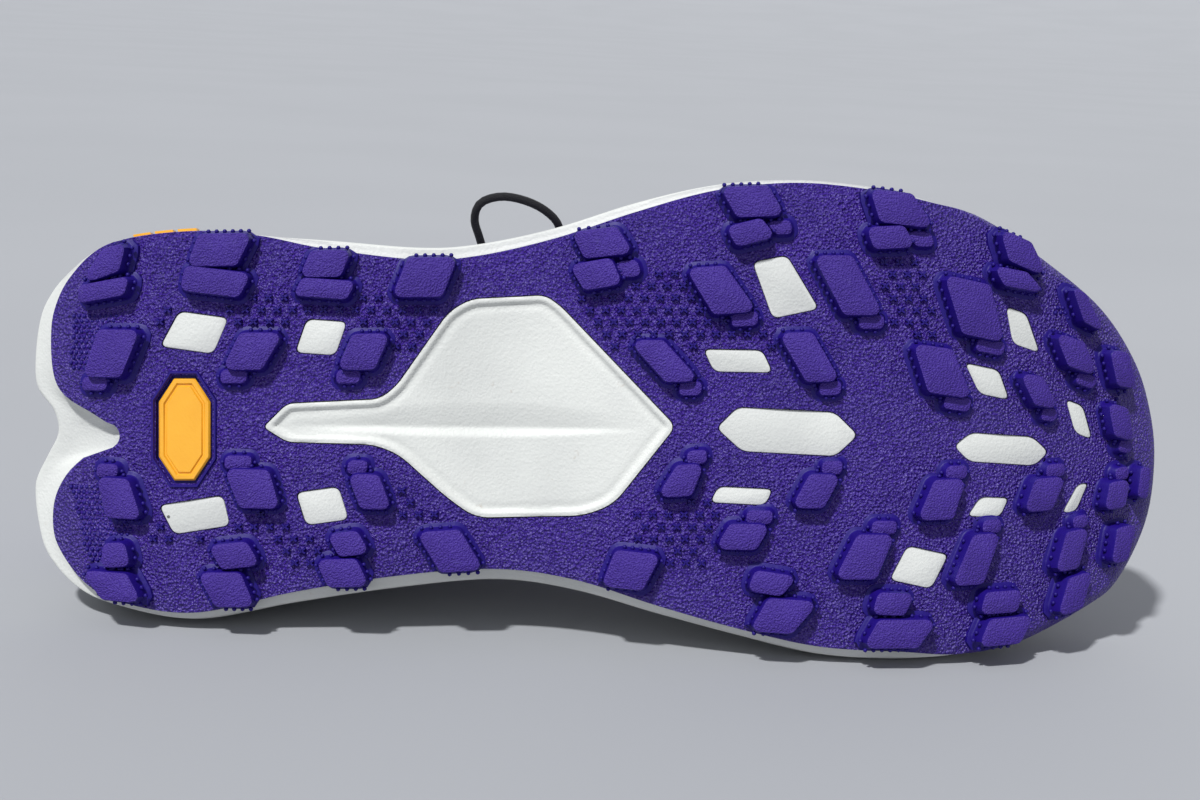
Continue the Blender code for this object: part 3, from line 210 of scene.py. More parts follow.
MEDIAL_EDGE_LUGS = table(Lug, (
    (.086, .255, .62, .56, .01, -.2, -3, 1, 0), (.084, .320, 1.08, .65, .51, .2, 3, 1, 0),
    (.188, .255, .91, .58, .27, 0, -6, 1, 0), (.182, .325, .97, .80, .39, .1, 0, 1, 0),
    (.284, .231, .71, .55, .24, 0, -7, 1, 0), (.279, .291, .96, .64, .29, 0, -1, 1, 0),
    (.369, .248, 1.01, .98, .52, 0, -3, 1, 0), (.521, .286, 1.02, .88, -.30, .1, 6, 1, 0),
    (.639, .312, .90, .50, -.21, .2, 9, 1, 0), (.649, .379, 1.10, .79, -.49, .2, 4, 1, 0),
    (.743, .356, .83, .51, -.17, .1, 3, 1, 0), (.749, .418, 1.39, .66, -.42, .1, 1, 1, 0),
    (.840, .358, .95, .51, -.17, 0, -2, 1, 0), (.844, .419, 1.12, .63, -.38, .1, -3, 1, 0),
    (.910, .347, .70, .81, -.55, 0, -16, 1, 0), (.958, .247, .51, .85, -.35, .1, -9, 1, 0),
    (.980, .116, .29, .76, .04, 0, 12, 1, 0),
))
LUGS = LATERAL_EDGE_LUGS + INNER_LUGS + MEDIAL_EDGE_LUGS

# Windows, with the lugs' columns in shares of WINDOW_SIZE. point is how far the two ends stand out.
Window = namedtuple("Window", "at across long wide rake pinch turn point")
WINDOWS = table(Window, (
    (.152, -.202, 1.28, .94, -.30, -.1, 8, 0), (.259, -.192, 1.00, .86, -.23, 0, 4, 0),
    (.153, .175, 1.50, .78, .16, .2, -9, 0), (.260, .156, 1.06, .85, .14, 0, -8, 0),
    (.651, -.297, 1.02, 1.46, .35, -.3, -12, 0), (.613, -.143, 1.45, .57, .27, 0, 1, 0),
    (.655, .003, 2.32, 1.09, .12, .1, 3, .58), (.616, .135, 1.36, .43, -.18, 0, 3, 0),
    (.831, -.101, .88, .70, .48, .1, 11, 0), (.862, -.212, .69, .85, .55, -.2, 17, 0),
    (.844, .041, 1.70, .74, .06, -.1, 4, .43), (.832, .162, .84, .52, -.28, -.1, 3, 0),
    (.769, .285, 1.10, .93, -.25, 0, 13, 0), (.918, -.021, .54, .74, .54, 0, 19, 0),
    (.915, .147, .38, .72, -.45, -.1, -3, 0),
))

# The arch plate's corners: shares of LENGTH and BALL_WIDTH, and the corner's radius in shares of WINDOW_SIZE
Corner = namedtuple("Corner", "at across radius")
ARCH = table(Corner, (
    (.209, -.006, .15), (.230, -.057, .20), (.308, -.066, .50), (.322, -.092, .50), (.366, -.246, .45),
    (.385, -.274, .40), (.449, -.282, .40), (.463, -.258, .40), (.561, -.008, .25), (.508, .154, .40),
    (.482, .179, .40), (.389, .184, .40), (.365, .142, .40), (.324, .051, .50), (.303, .031, .50),
    (.230, .026, .20),
))
# The long trough in the arch plate: its two edges and its bottom, and its depth as a share of TROUGH_DEPTH
Trough = namedtuple("Trough", "at lateral bottom medial deep")
TROUGH = table(Trough, (
    (.232, -.036, -.010, .006, .30), (.300, -.043, -.010, .008, .90), (.345, -.054, -.008, .014, 1),
    (.440, -.056, -.006, .016, 1), (.522, -.030, -.004, .008, .25),
))

Bed = namedtuple("Bed", "at height")
BED = table(Bed, (
    (0, HEEL_STACK + .0015), (.12, HEEL_STACK), (.30, HEEL_STACK - .0012), (.50, BALL_STACK + .0022),
    (.65, BALL_STACK), (.80, BALL_STACK + .0028), (.90, (BALL_STACK + TOE_STACK) / 2), (1, TOE_STACK),
))

Section = namedtuple("Section", "at crown full")
SECTIONS = table(Section, (
    (.00, HEEL_COLLAR + .055, 1.75), (.17, HEEL_COLLAR + .050, 1.72), (.25, HEEL_COLLAR + .044, 1.72),
    (.33, INSTEP_HEIGHT + .017, 1.75), (.40, INSTEP_HEIGHT, 1.80), (.50, INSTEP_HEIGHT - .022, 1.95),
    (.60, TOE_BOX_HEIGHT + .021, 2.10), (.70, TOE_BOX_HEIGHT + .009, 2.25), (.81, TOE_BOX_HEIGHT, 2.35),
    (1.0, TOE_BOX_HEIGHT, 2.4),
))

Collar = namedtuple("Collar", "at height")
COLLAR = table(Collar, (
    (.00, HEEL_COLLAR), (.06, HEEL_COLLAR - .004), (.14, ANKLE_COLLAR + .008), (.22, ANKLE_COLLAR),
    (.30, ANKLE_COLLAR + .002), (.36, ANKLE_COLLAR + .010), (.40, ANKLE_COLLAR + .018),
))
Throat = namedtuple("Throat", "at half")
THROAT = table(Throat, (
    (.40, THROAT_WIDTH * .50), (.50, THROAT_WIDTH * .47), (.60, THROAT_WIDTH * .42),
    (.66, THROAT_WIDTH * .36), (.70, THROAT_WIDTH * .24), (.72, 0),
))
THROAT_TOP = .40
THROAT_END = .72

Turn = namedtuple("Turn", "ahead across up")
LATERAL_LOOP = table(Turn, (
    (-.0020, -.0067, .0000), (-.0040, -.0150, .0010), (-.0080, -.0270, -.0060), (-.0115, -.0390, -.0170),
    (-.0140, -.0490, -.0290), (-.0150, -.0540, -.0365), (-.0130, -.0582, -.0402), (-.0072, -.0600, -.0405),
    (-.0005, -.0590, -.0395), (.0055, -.0562, -.0375), (.0092, -.0520, -.0335), (.0098, -.0440, -.0260),
    (.0080, -.0330, -.0150), (.0060, -.0200, -.0050), (.0035, -.0130, -.0005), (.0022, -.0067, -.0004),
))
MEDIAL_LOOP = table(Turn, (
    (-.0020, .0067, .0000), (-.0045, .0140, .0005), (-.0070, .0200, -.0050), (-.0075, .0250, -.0120),
    (-.0060, .0285, -.0180), (-.0010, .0300, -.0210), (.0040, .0290, -.0205), (.0070, .0250, -.0160),
    (.0070, .0190, -.0095), (.0045, .0130, -.0030), (.0022, .0067, -.0004),
))
# The lace's ends, as shares of LENGTH along the ridge, places across it and heights out from the upper
End = namedtuple("End", "at across out")
LATERAL_END = table(End, (
    (.4470, -.0035, .0118), (.4620, -.0085, .0092), (.4850, -.0150, .0076), (.5150, -.0210, .0072),
    (.5500, -.0255, .0072), (.5850, -.0280, .0072),
))
MEDIAL_END = table(End, (
    (.4470, .0035, .0118), (.4640, .0080, .0096), (.4900, .0120, .0078), (.5200, .0150, .0072),
    (.5550, .0170, .0072), (.5900, .0180, .0072),
))
KNOT_SIZE = (.0062, .0068, .0040)


def extruded(bm, edges):
    """The vertices and edges that come from extruding some edges."""
    grown = bmesh.ops.extrude_edge_only(bm, edges=edges)["geom"]
    return [[item for item in grown if isinstance(item, kind)] for kind in (bmesh.types.BMVert, bmesh.types.BMEdge)]


def mesh_of(bm, name):
    """A mesh with a bmesh's shape. The bmesh is freed."""
    mesh = bpy.data.meshes.new(name)
    bm.to_mesh(mesh)
    bm.free()
    return mesh


def object_of(name, data):
    """A new object in the scene."""
    made = bpy.data.objects.new(name, data)
    bpy.context.scene.collection.objects.link(made)
    return made


def held(value):
    """A value kept between 0 and 1."""
    return min(1.0, max(0.0, value))


def eased(value):
    """A value kept between 0 and 1, with soft ends."""
    value = held(value)
    return value * value * (3 - 2 * value)


def turned_to(towards):
    """The turn from straight up to a direction."""
    return Vector((0, 0, 1)).rotation_difference(towards).to_matrix().to_4x4()


def blend(start, end, slope_in, slope_out, s):
    """A smooth value between start and end, with a slope at each."""
    return ((2 * s ** 3 - 3 * s * s + 1) * start + (s ** 3 - 2 * s * s + s) * slope_in
            + (3 * s * s - 2 * s ** 3) * end + (s ** 3 - s * s) * slope_out)


def hermite(before, start, end, after, share):
    """A smooth value between start and end, through its neighbours' values."""
    return blend(start, end, (end - before) / 2, (after - start) / 2, share)


def read(table, at, column):
    """A column of a table of stations at one place, smoothed between its rows."""
    places, values = [row.at for row in table], [getattr(row, column) for row in table]
    at = min(max(at, places[0]), places[-1])
    i = min(int(np.searchsorted(places, at, side="right")) - 1, len(table) - 2)
    width = places[i + 1] - places[i]
    left = width / (places[i + 1] - places[i - 1]) if i else 0.5
    right = width / (places[i + 2] - places[i]) if i + 2 < len(places) else 0.5
    slope_in = (values[i + 1] - values[max(i - 1, 0)]) * left
    slope_out = (values[min(i + 2, len(values) - 1)] - values[i]) * right
    return blend(values[i], values[i + 1], slope_in, slope_out, (at - places[i]) / width)


def closed_curve(rows, steps=8):
    """The rows of a closed outline with smooth points between them."""
    rows = np.array(rows, float)
    points = []
    for i in range(len(rows)):
        around = [rows[(i + k) % len(rows)] for k in (-1, 0, 1, 2)]
        points += [hermite(*around, step / steps) for step in range(steps)]
    return np.array(points)


OUTLINE_CURVE = closed_curve(OUTLINE) * (LENGTH, BALL_WIDTH, RIM_SHOWS, 1)
FILLED_CURVE = closed_curve([row for row in OUTLINE if row.bare < 3]) * (LENGTH, BALL_WIDTH, RIM_SHOWS, 1)


def ray(origin, direction, curve=OUTLINE_CURVE):
    """How far the outline is from a point inside it, with its bare and wrap values there."""
    start = curve[:, :2] - origin
    step = np.roll(curve[:, :2], -1, axis=0) - curve[:, :2]
    cross = direction[0] * step[:, 1] - direction[1] * step[:, 0]
    cross = np.where(abs(cross) < 1e-12, 1e-12, cross)
    far = (start[:, 0] * step[:, 1] - start[:, 1] * step[:, 0]) / cross
    share = (start[:, 0] * direction[1] - start[:, 1] * direction[0]) / cross
    hit = np.where((far > 0) & (share >= 0) & (share <= 1), far, np.inf)
    i = int(hit.argmin())
    following = (i + 1) % len(curve)
    bare, wrap = curve[i, 2:] * (1 - share[i]) + curve[following, 2:] * share[i]
    return float(hit[i]), max(0.0, float(bare)), min(1.0, max(0.0, float(wrap)))


def middle(x):
    """The sole's centre line."""
    lateral = ray((x, 0), (0, -1))[0]
    medial = ray((x, 0), (0, 1))[0]
    return (medial - lateral) / 2


HEEL_CENTRE = (STATIONS[0] * LENGTH, middle(STATIONS[0] * LENGTH))
TOE_CENTRE = (STATIONS[-1] * LENGTH, middle(STATIONS[-1] * LENGTH))


class Spoke:
    """A line from the centre line out to the sole's edge."""

    def __init__(self, origin, direction):
        self.origin = origin
        self.direction = direction
        self.edge, self.bare, self.wrap = ray(origin, direction)
        if self.bare > GAP / 3:
            self.wrap = 0.0
        self.foam = self.edge - self.wrap * (SHEET + GAP)
        self.foot = ray(origin, direction, FILLED_CURVE)[0] - self.wrap * (SHEET + GAP) - SIDE_LEAN
        self.at = origin[0] / LENGTH

    def point(self, far, z):
        return (self.origin[0] + self.direction[0] * far, self.origin[1] + self.direction[1] * far, z)


def spoke_at(x, side):
    """The spoke across the foot at x, on the lateral (-1) or medial (1) side."""
    return Spoke((x, middle(x)), (0, side))


def ground(x):
    """How far the flat of the tread is off the ground at x: heel rise, arch and toe spring."""
    at = x / LENGTH
    if at < HEEL_ENDS:
        return HEEL_RISE * ((HEEL_ENDS - max(at, 0)) / HEEL_ENDS) ** 2
    if ARCH_STARTS < at < ARCH_ENDS:
        return ARCH_RISE * math.sin(math.pi * (at - ARCH_STARTS) / (ARCH_ENDS - ARCH_STARTS)) ** 2
    return TOE_SPRING * ((at - TOES_START) / (1 - TOES_START)) ** 2.1 if at > TOES_START else 0.0


def base(x, share):
    """The outsole's outer face between the lugs, at a share of the way out to the edge."""
    return LUG_HEIGHT + ground(x) + EDGE_ROLL * min(share, 1.1) ** 6


def bed(x):
    """The height of the bed that the foot stands on."""
    return read(BED, x / LENGTH, "height")


def along(spoke, far):
    """The x of a point on a spoke."""
    return spoke.origin[0] + spoke.direction[0] * far


def face_heights(spoke, reach, shares, lift):
    """Points on the outsole's outer face moved up by lift, at shares of reach."""
    return [(reach * share, base(along(spoke, reach * share), reach * share / spoke.edge) + lift) for share in shares]


def share_out(x, y):
    """How far out a point lies, as a share of its spoke."""
    if HEEL_CENTRE[0] <= x <= TOE_CENTRE[0]:
        origin = (x, middle(x))
    else:
        origin = HEEL_CENTRE if x < HEEL_CENTRE[0] else TOE_CENTRE
    far = math.hypot(x - origin[0], y - origin[1])
    if far < 1e-6:
        return 0.0
    return far / ray(origin, ((x - origin[0]) / far, (y - origin[1]) / far))[0]


def base_at(x, y):
    """The height of the outsole's outer face at a place."""
    return base(x, share_out(x, y))


def upper_reach(spoke):
    """How far out the upper's foot stands on a spoke."""
    return spoke.foot - CUP_WALL - GAP


def section(spoke):
    """The upper's section on a spoke: the power of its curve, its reach, its foot and its rise."""
    reach = upper_reach(spoke)
    foot = bed(along(spoke, reach)) + GAP
    return 2 / read(SECTIONS, spoke.at, "full"), reach, foot, read(SECTIONS, spoke.at, "crown") - foot


def upper_point(spoke, angle, out):
    """A point of the upper, or of what lies out from it, at an angle from the base (0) to the ridge."""
    power, reach, foot, rise = section(spoke)
    across = 0.0 if angle > math.pi / 2 - 1e-9 else max(0.0, math.cos(angle)) ** power
    return Vector(spoke.point((reach + out) * across, foot + (rise + out) * math.sin(angle) ** power))


def angle_at_height(spoke, height):
    """Where the upper's section reaches a height."""
    power, _, foot, rise = section(spoke)
    return math.asin(min(1.0, max(0.02, (height - foot) / rise)) ** (1 / power))


def angle_at_half(spoke, half):
    """Where the upper's section is a distance from the centre line."""
    return math.acos(held(half / upper_reach(spoke)) ** (read(SECTIONS, spoke.at, "full") / 2))


def angle_below(spoke, angle, distance):
    """The angle that lies a distance down the section from another."""
    here = upper_point(spoke, angle, 0)
    while distance > 0 and angle > .05:
        angle -= .01
        following = upper_point(spoke, angle, 0)
        distance -= (following - here).length
        here = following
    return angle


def rim_angle(spoke):
    """Where the upper ends: at the collar, at the throat's edge or, over the toes, at the ridge."""
    if spoke.at < THROAT_TOP:
        return angle_at_height(spoke, read(COLLAR, along(spoke, .85 * spoke.edge) / LENGTH, "height"))
    if spoke.at < THROAT_END:
        return angle_at_half(spoke, read(THROAT, spoke.at, "half"))
    return math.pi / 2


def four_sided(row, size):
    """The corners of a lug or window, with its rake, pinch, points and turn."""
    wide = row.wide * size / 2
    lateral, medial = (row.long + row.pinch / 2) * size / 2, (row.long - row.pinch / 2) * size / 2
    lean = row.rake * size / 2
    corners = [(-lateral - lean, -wide), (lateral - lean, -wide), (medial + lean, wide), (-medial + lean, wide)]
    point = getattr(row, "point", 0) * size
    if point:
        out = row.long * size / 2 + point
        corners = [corners[0], corners[1], (out, 0), corners[2], corners[3], (-out, 0)]
    return placed(corners, row)


def placed(corners, row):
    """Corners turned and moved to the row's place."""
    turn = math.radians(row.turn)
    cos, sin = math.cos(turn), math.sin(turn)
    x, y = row.at * LENGTH, row.across * BALL_WIDTH
    return [(x + a * cos - b * sin, y + a * sin + b * cos) for a, b in corners]


def rounded(corners, radii, steps=2):
    """An outline with each corner rounded off."""
    points = []
    for i, corner in enumerate(corners):
        here = Vector(corner)
        before, after = Vector(corners[i - 1]) - here, Vector(corners[(i + 1) % len(corners)]) - here
        trim = min(radii[i], .45 * before.length, .45 * after.length)
        start, end = here + before.normalized() * trim, here + after.normalized() * trim
        for step in range(steps + 1):
            s = step / steps
            points.append(tuple(start * (1 - s) ** 2 + here * 2 * s * (1 - s) + end * s * s))
    return points


def inset(outline, distance):
    """An outline moved inwards."""
    area = sum(a[0] * b[1] - b[0] * a[1] for a, b in zip(outline, outline[1:] + outline[:1]))
    sign = 1 if area > 0 else -1
    moved = []
    for i, point in enumerate(outline):
        here = Vector(point)
        one = (here - Vector(outline[i - 1])).normalized()
        two = (Vector(outline[(i + 1) % len(outline)]) - here).normalized()
        normal = Vector((-(one.y + two.y), one.x + two.x)) * sign
        normal.normalize()
        slant = max(.5, normal.dot(Vector((-one.y, one.x)) * sign))
        moved.append(tuple(here + normal * distance / slant))
    return moved


def tab_corners(lug):
    """The low step beside a lug, on the side of the centre line, where the lug's rake leads."""
    inner = 1 if lug.across < 0 else -1
    ahead = math.copysign(1, inner * lug.rake)
    long = .62 * lug.long * LUG_SIZE
    x = inner * lug.rake * LUG_SIZE / 2 + ahead * (.24 * lug.long * LUG_SIZE)
    y = inner * (lug.wide * LUG_SIZE / 2 + TAB_GAP + TAB_WIDTH / 2)
    half = TAB_WIDTH / 2
    corners = [(x - long / 2, y - half), (x + long / 2, y - half), (x + long / 2, y + half), (x - long / 2, y + half)]
    return placed(corners, lug)


def badge_corners():
    """The badge's eight corners round its middle."""
    row = Lug(.1427, -.002, 0, 0, 0, 0, 0, 1, 0)
    a, b = BADGE_LENGTH / 2, BADGE_WIDTH / 2
    c, d = a * .40, b * .54
    return placed([(-c, -b), (c, -b), (a, -d), (a, d), (c, b), (-c, b), (-a, d), (-a, -d)], row)


def spread(start, end, steps):
    """Even steps from start to end, both included."""
    return [start + (end - start) * i / steps for i in range(steps + 1)]


def eyelet_spots():
    """Each eyelet's spoke and angle, in pairs from the top down."""
    def spot(at, side):
        spoke = spoke_at(at * LENGTH, side)
        return spoke, angle_at_half(spoke, read(THROAT, at, "half") + EYELET_INSET)

    return [(spot(at, -1), spot(at, 1)) for at in spread(THROAT_TOP + .022, .672, EYELETS - 1)]


def over(at, across, out):
    """A place over the upper."""
    spoke = spoke_at(at * LENGTH, -1 if across < 0 else 1)
    return upper_point(spoke, angle_at_half(spoke, abs(across)), out)


def knot_middle():
    """The middle of the bow's knot, on top of the tongue."""
    return over(KNOT_AT, 0, LACE_OUT + LACE_RADIUS + GAP + KNOT_SIZE[2])


def smooth_line(points, spacing):
    """Points read at even steps from a smooth curve through the given ones."""
    rows = np.array(points, float)
    dense = []
    for i in range(len(rows) - 1):
        around = [rows[min(max(i + k, 0), len(rows) - 1)] for k in (-1, 0, 1, 2)]
        dense += [hermite(*around, s / 12) for s in range(12)]
    dense = np.array(dense + [rows[-1]])
    run = np.concatenate([[0], np.cumsum(np.linalg.norm(np.diff(dense, axis=0), axis=1))])
    count = max(4, round(run[-1] / spacing))
    places = np.linspace(0, run[-1], count + 1)
    return np.stack([np.interp(places, run, dense[:, k]) for k in range(3)], axis=1)


def shoe_pose():
    """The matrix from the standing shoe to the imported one, found from the two lug tops that are its mounts."""
    mounts = {m["name"]: m for m in frame["record"]["mounts"]}
    heel, ball = (Vector(mounts[name]["pos_m"]) for name in ("tread_heel", "tread_forefoot"))
    up = -Vector(mounts["tread_heel"]["axis"]).normalized()
    rows = [next(lug for lug in LUGS if (lug.at, lug.across) == place) for place in ((.203, -.162), (.597, -.287))]
    here, there = (Vector((lug.at * LENGTH, lug.across * BALL_WIDTH, 0)) for lug in rows)

    def basis(ahead, upward):
        ahead = (ahead - upward * ahead.dot(upward)).normalized()
        return Matrix((ahead, upward.cross(ahead), upward)).transposed()

    turn = basis(ball - heel, up) @ basis(there - here, Vector((0, 0, 1))).inverted()
    return Matrix.Translation(heel - turn @ here) @ turn.to_4x4()


POSE = shoe_pose()


def tree_of(node):
    """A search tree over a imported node."""
    mesh = frame["nodes"][node].data
    return BVHTree.FromPolygons([v.co for v in mesh.vertices], [p.vertices for p in mesh.polygons])


def hit_from_below(tree, x, y):
    """The height in the shoe's frame of the first surface over a point of the ground, or None."""
    found = tree.ray_cast(POSE @ Vector((x, y, -.02)), POSE.to_3x3() @ Vector((0, 0, 1)))
    return None if found[0] is None else (POSE.inverted() @ found[0]).z


def fill(tree, node, inputs):
    """Connects or sets a node's inputs. A colour gets its fourth part."""
    for key, value in inputs.items():
        if isinstance(value, Link):
            tree.links.new(value.socket, node.inputs[key])
        else:
            node.inputs[key].default_value = (*value, 1) if isinstance(value, tuple) else value


class Link:
    """A shader value that can be added, multiplied and taken from a number."""

    def __init__(self, tree, socket):
        self.tree, self.socket = tree, socket

    def math(self, operation, other):
        node = self.tree.nodes.new("ShaderNodeMath")
        node.operation = operation
        fill(self.tree, node, {0: self, 1: other})
        return Link(self.tree, node.outputs[0])

    def __add__(self, other):
        return self.math("ADD", other)

    def __mul__(self, other):
        return self.math("MULTIPLY", other)

    def __rsub__(self, other):
        return (self * -1) + other

    __radd__, __rmul__ = __add__, __mul__

    def soft(self, low, high):
        """0 below low, 1 above high and smooth between."""
        node = self.tree.nodes.new("ShaderNodeMapRange")
        node.interpolation_type = "SMOOTHSTEP"
        fill(self.tree, node, {0: self, 1: low, 2: high})
        return Link(self.tree, node.outputs[0])


class Finish:
    """A material that is being built."""

    def __init__(self, name, colour, roughness, specular=.5, coat=0.0, sheen=0.0):
        self.made = bpy.data.materials.new(name)
        self.made.use_nodes = True
        self.tree = self.made.node_tree
        self.shader = self.tree.nodes["Principled BSDF"]
        fill(self.tree, self.shader, {
            "Base Color": colour, "Roughness": roughness, "Specular IOR Level": specular, "Coat Weight": coat,
            "Coat Roughness": .2, "Sheen Weight": sheen})
        self.place = self.node("ShaderNodeTexCoord", {}, "Object")

    def node(self, kind, inputs, output):
        """An output of a new node."""
        made = self.tree.nodes.new(kind)
        fill(self.tree, made, inputs)
        return Link(self.tree, made.outputs[output])

    def noise(self, per_metre, detail=2.0, roughness=.5):
        inputs = {"Vector": self.place, "Scale": per_metre, "Detail": detail, "Roughness": roughness}
        return self.node("ShaderNodeTexNoise", inputs, "Fac")

    def cells(self, per_metre):
        return self.node("ShaderNodeTexVoronoi", {"Vector": self.place, "Scale": per_metre}, "Distance")

    def mix(self, share, one, two):
        node = self.tree.nodes.new("ShaderNodeMix")
        node.data_type = "RGBA"
        fill(self.tree, node, {0: share, 6: one, 7: two})
        return Link(self.tree, node.outputs[2])

    def toned(self, tone, one, two, share=.5):
        """Two colours that drift into each other with a noise."""
        return self.mix(tone.soft(.3, .7) * share, one, two)

    def finished(self, colour, height, depth, roughness=None):
        """The material, with its varying colour, bump and roughness."""
        bump = self.node("ShaderNodeBump", {"Height": height, "Distance": depth, "Strength": 1.0}, "Normal")
        fill(self.tree, self.shader, {"Base Color": colour, "Normal": bump})
        if roughness:
            fill(self.tree, self.shader, {"Roughness": roughness})
        return self.made


def srgb(red, green, blue):
    """A colour as the eye names it, in 0 to 255, as linear light."""
    parts = []
    for part in (red, green, blue):
        part /= 255
        parts.append(part / 12.92 if part <= .04045 else ((part + .055) / 1.055) ** 2.4)
    return tuple(parts)


VIOLET = srgb(54, 24, 134)
DEEP_VIOLET = srgb(26, 4, 112)
# The colour of the painted highlights on the outsole's grain.
PAINTED_HIGHLIGHT_VIOLET = srgb(120, 104, 190)
FOAM_WHITE = srgb(206, 208, 205)
AMBER = srgb(238, 172, 44)
KNIT_LILAC = srgb(196, 192, 214)
BLACK = srgb(14, 14, 16)


def grained_rubber():
    """Outsole rubber: a leathery grain with painted highlights on its crests and painted shade in its pits."""
    made = Finish("grained_rubber", VIOLET, .4)
    grain = made.cells(1450) * .8 + made.noise(1900, 2, .6) * .6
    large = made.noise(70, 3)
    # Painted highlight: pale violet specks mixed into the colour where the grain's crests would catch the light.
    painted_highlight = made.noise(2000, 1).soft(.52, .68)
    # Painted shade: the grain's pits darkened towards a deep violet.
    painted_pit_shade = 1 - made.noise(1700, 1).soft(.30, .48)
    colour = made.mix(large.soft(.35, .7) * .45, VIOLET, srgb(40, 16, 116))
    colour = made.mix(painted_pit_shade * .55, colour, srgb(20, 4, 78))
    colour = made.mix(painted_highlight * .36, colour, PAINTED_HIGHLIGHT_VIOLET)
    return made.finished(colour, grain, .00095, .3 + large * .18)


def lug_rubber():
    """The tops of the lugs: the same rubber, scuffed finer."""
    made = Finish("lug_rubber", VIOLET, .6, specular=.4)
    grain = made.cells(2100) * .5 + made.noise(2600, 2, .6) * .6
    large = made.noise(120, 3)
    scuff = made.noise(420, 4, .7).soft(.60, .72)
    colour = made.mix(large.soft(.3, .75) * .5, srgb(60, 34, 138), srgb(48, 22, 120))
    colour = made.mix(scuff * .25, colour, srgb(92, 80, 160))
    return made.finished(colour, grain, .00055, .5 + large * .2)


def smooth_rubber():
    """The walls and feet of the lugs, polished by the mould."""
    made = Finish("smooth_rubber", DEEP_VIOLET, .5, specular=.3)
    large = made.noise(260, 2)
    colour = made.toned(large, DEEP_VIOLET, srgb(24, 4, 104))
    return made.finished(colour, made.noise(900, 2), .00008, .44 + large * .16)


def moulded_foam():
    """Midsole foam with a fine skin, dusty specks and a little soil."""
    made = Finish("moulded_foam", FOAM_WHITE, .5, specular=.35)
    soil = made.noise(160, 4, .6).soft(.60, .74) * made.noise(900, 2).soft(.55, .7)
    tone = made.noise(30, 3)
    colour = made.mix(soil * .4, made.toned(tone, srgb(201, 203, 200), srgb(213, 215, 211), 1), srgb(160, 140, 122))
    return made.finished(colour, made.noise(900, 3) * .6 + made.cells(1500) * .35, .00016, .42 + tone * .18)


def amber_plastic():
    """The badge and the side bars: satin moulded plastic."""
    made = Finish("amber_plastic", AMBER, .32, coat=.15)
    tone = made.noise(140, 2)
    return made.finished(made.toned(tone, AMBER, srgb(232, 160, 34)), made.noise(1500, 2), .00003, .28 + tone * .12)


def knit(name, light, dark, per_metre=820):
    """An engineered knit: rows of small open cells."""
    made = Finish(name, light, .85, specular=.25, sheen=.25)
    cells = made.cells(per_metre)
    fibre = made.noise(3200, 2, .7)
    zone = made.noise(22, 2)
    hole = 1 - cells.soft(.12, .34)
    colour = made.mix(zone.soft(.35, .65) * .25 + fibre * .2, light, dark)
    colour = made.mix(hole * .5, colour, tuple(part * .35 for part in dark))
    return made.finished(colour, cells.soft(.05, .5) + fibre * .18, .0004)


def welded_film():
    """Thin film welded on the knit, satin and slightly orange-peeled."""
    made = Finish("welded_film", srgb(58, 40, 140), .38, coat=.1)
    tone = made.noise(60, 3)
    colour = made.toned(tone, srgb(62, 44, 148), srgb(44, 26, 118))
    return made.finished(colour, made.cells(900) * .4 + made.noise(500, 2) * .4, .0001, .34 + tone * .16)


def brushed_lining(name="brushed_lining", colour=srgb(46, 42, 66)):
    """Soft brushed cloth."""
    made = Finish(name, colour, .95, specular=.15, sheen=.5)
    fibre = made.noise(2200, 3, .7)
    colour = made.toned(fibre, colour, tuple(part * 1.7 for part in colour))
    return made.finished(colour, fibre + made.cells(800) * .4, .00025)


def braided_cord():
    """Round braided lace: fine herringbone strands."""
    made = Finish("braided_cord", BLACK, .75, specular=.25, sheen=.06)
    strands = made.cells(2600) + made.noise(3000, 2) * .5
    return made.finished(made.mix(strands.soft(.2, .9) * .6, BLACK, srgb(36, 36, 41)), strands, .0002)


def thread(name, colour):
    """Fine twisted thread, or paint and plastic with as small a grain."""
    made = Finish(name, colour, .6, specular=.4, sheen=.3)
    shade = tuple(part * .6 for part in colour)
    return made.finished(made.toned(made.noise(2000, 2), colour, shade, .4), made.noise(4000, 2), .0001)


def studio_floor():
    """Plain pale ground."""
    made = Finish("studio_floor", srgb(158, 160, 164), .8, specular=.2)
    fill(made.tree, made.shader, {
        "Base Color": made.toned(made.noise(3, 2), srgb(160, 162, 166), srgb(153, 155, 159), .3)})
    return made.made


FINISHES = {}


def finish(name):
    """A finish by name, made once."""
    makers = {
        "grained_rubber": grained_rubber, "lug_rubber": lug_rubber, "smooth_rubber": smooth_rubber,
        "moulded_foam": moulded_foam, "amber_plastic": amber_plastic, "welded_film": welded_film,
        "brushed_lining": brushed_lining, "braided_cord": braided_cord, "studio_floor": studio_floor,
        "knit_lilac": lambda: knit("knit_lilac", KNIT_LILAC, srgb(140, 132, 176)),
        "knit_tongue": lambda: knit("knit_tongue", srgb(186, 182, 206), srgb(128, 120, 168), 760),
        "collar_binding": lambda: brushed_lining("collar_binding", srgb(70, 58, 130)),
        "eyelet_paint": lambda: thread("eyelet_paint", srgb(36, 24, 96)),
        "aglet_plastic": lambda: thread("aglet_plastic", srgb(30, 30, 34)),
        "pale_thread": lambda: thread("pale_thread", srgb(214, 212, 226)),
    }
    if name not in FINISHES:
        FINISHES[name] = makers[name]()
    return FINISHES[name]


def paint_node(node, name):
    """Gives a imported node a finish."""
    mesh = frame["nodes"][node].data
    mesh.materials.clear()
    mesh.materials.append(finish(name))


def piece(name, bm, finishes):
    """Makes a bmesh a piece of the shoe, laid down and riding on its body."""
    bmesh.ops.transform(bm, matrix=POSE, verts=bm.verts)
    mesh = mesh_of(bm, name)
    mesh.shade_smooth()
    mesh.set_sharp_from_angle(angle=SHARP_ANGLE)
    for item in finishes:
        mesh.materials.append(finish(item))
    made = object_of(name, mesh)
    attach(made, "root")
    return made


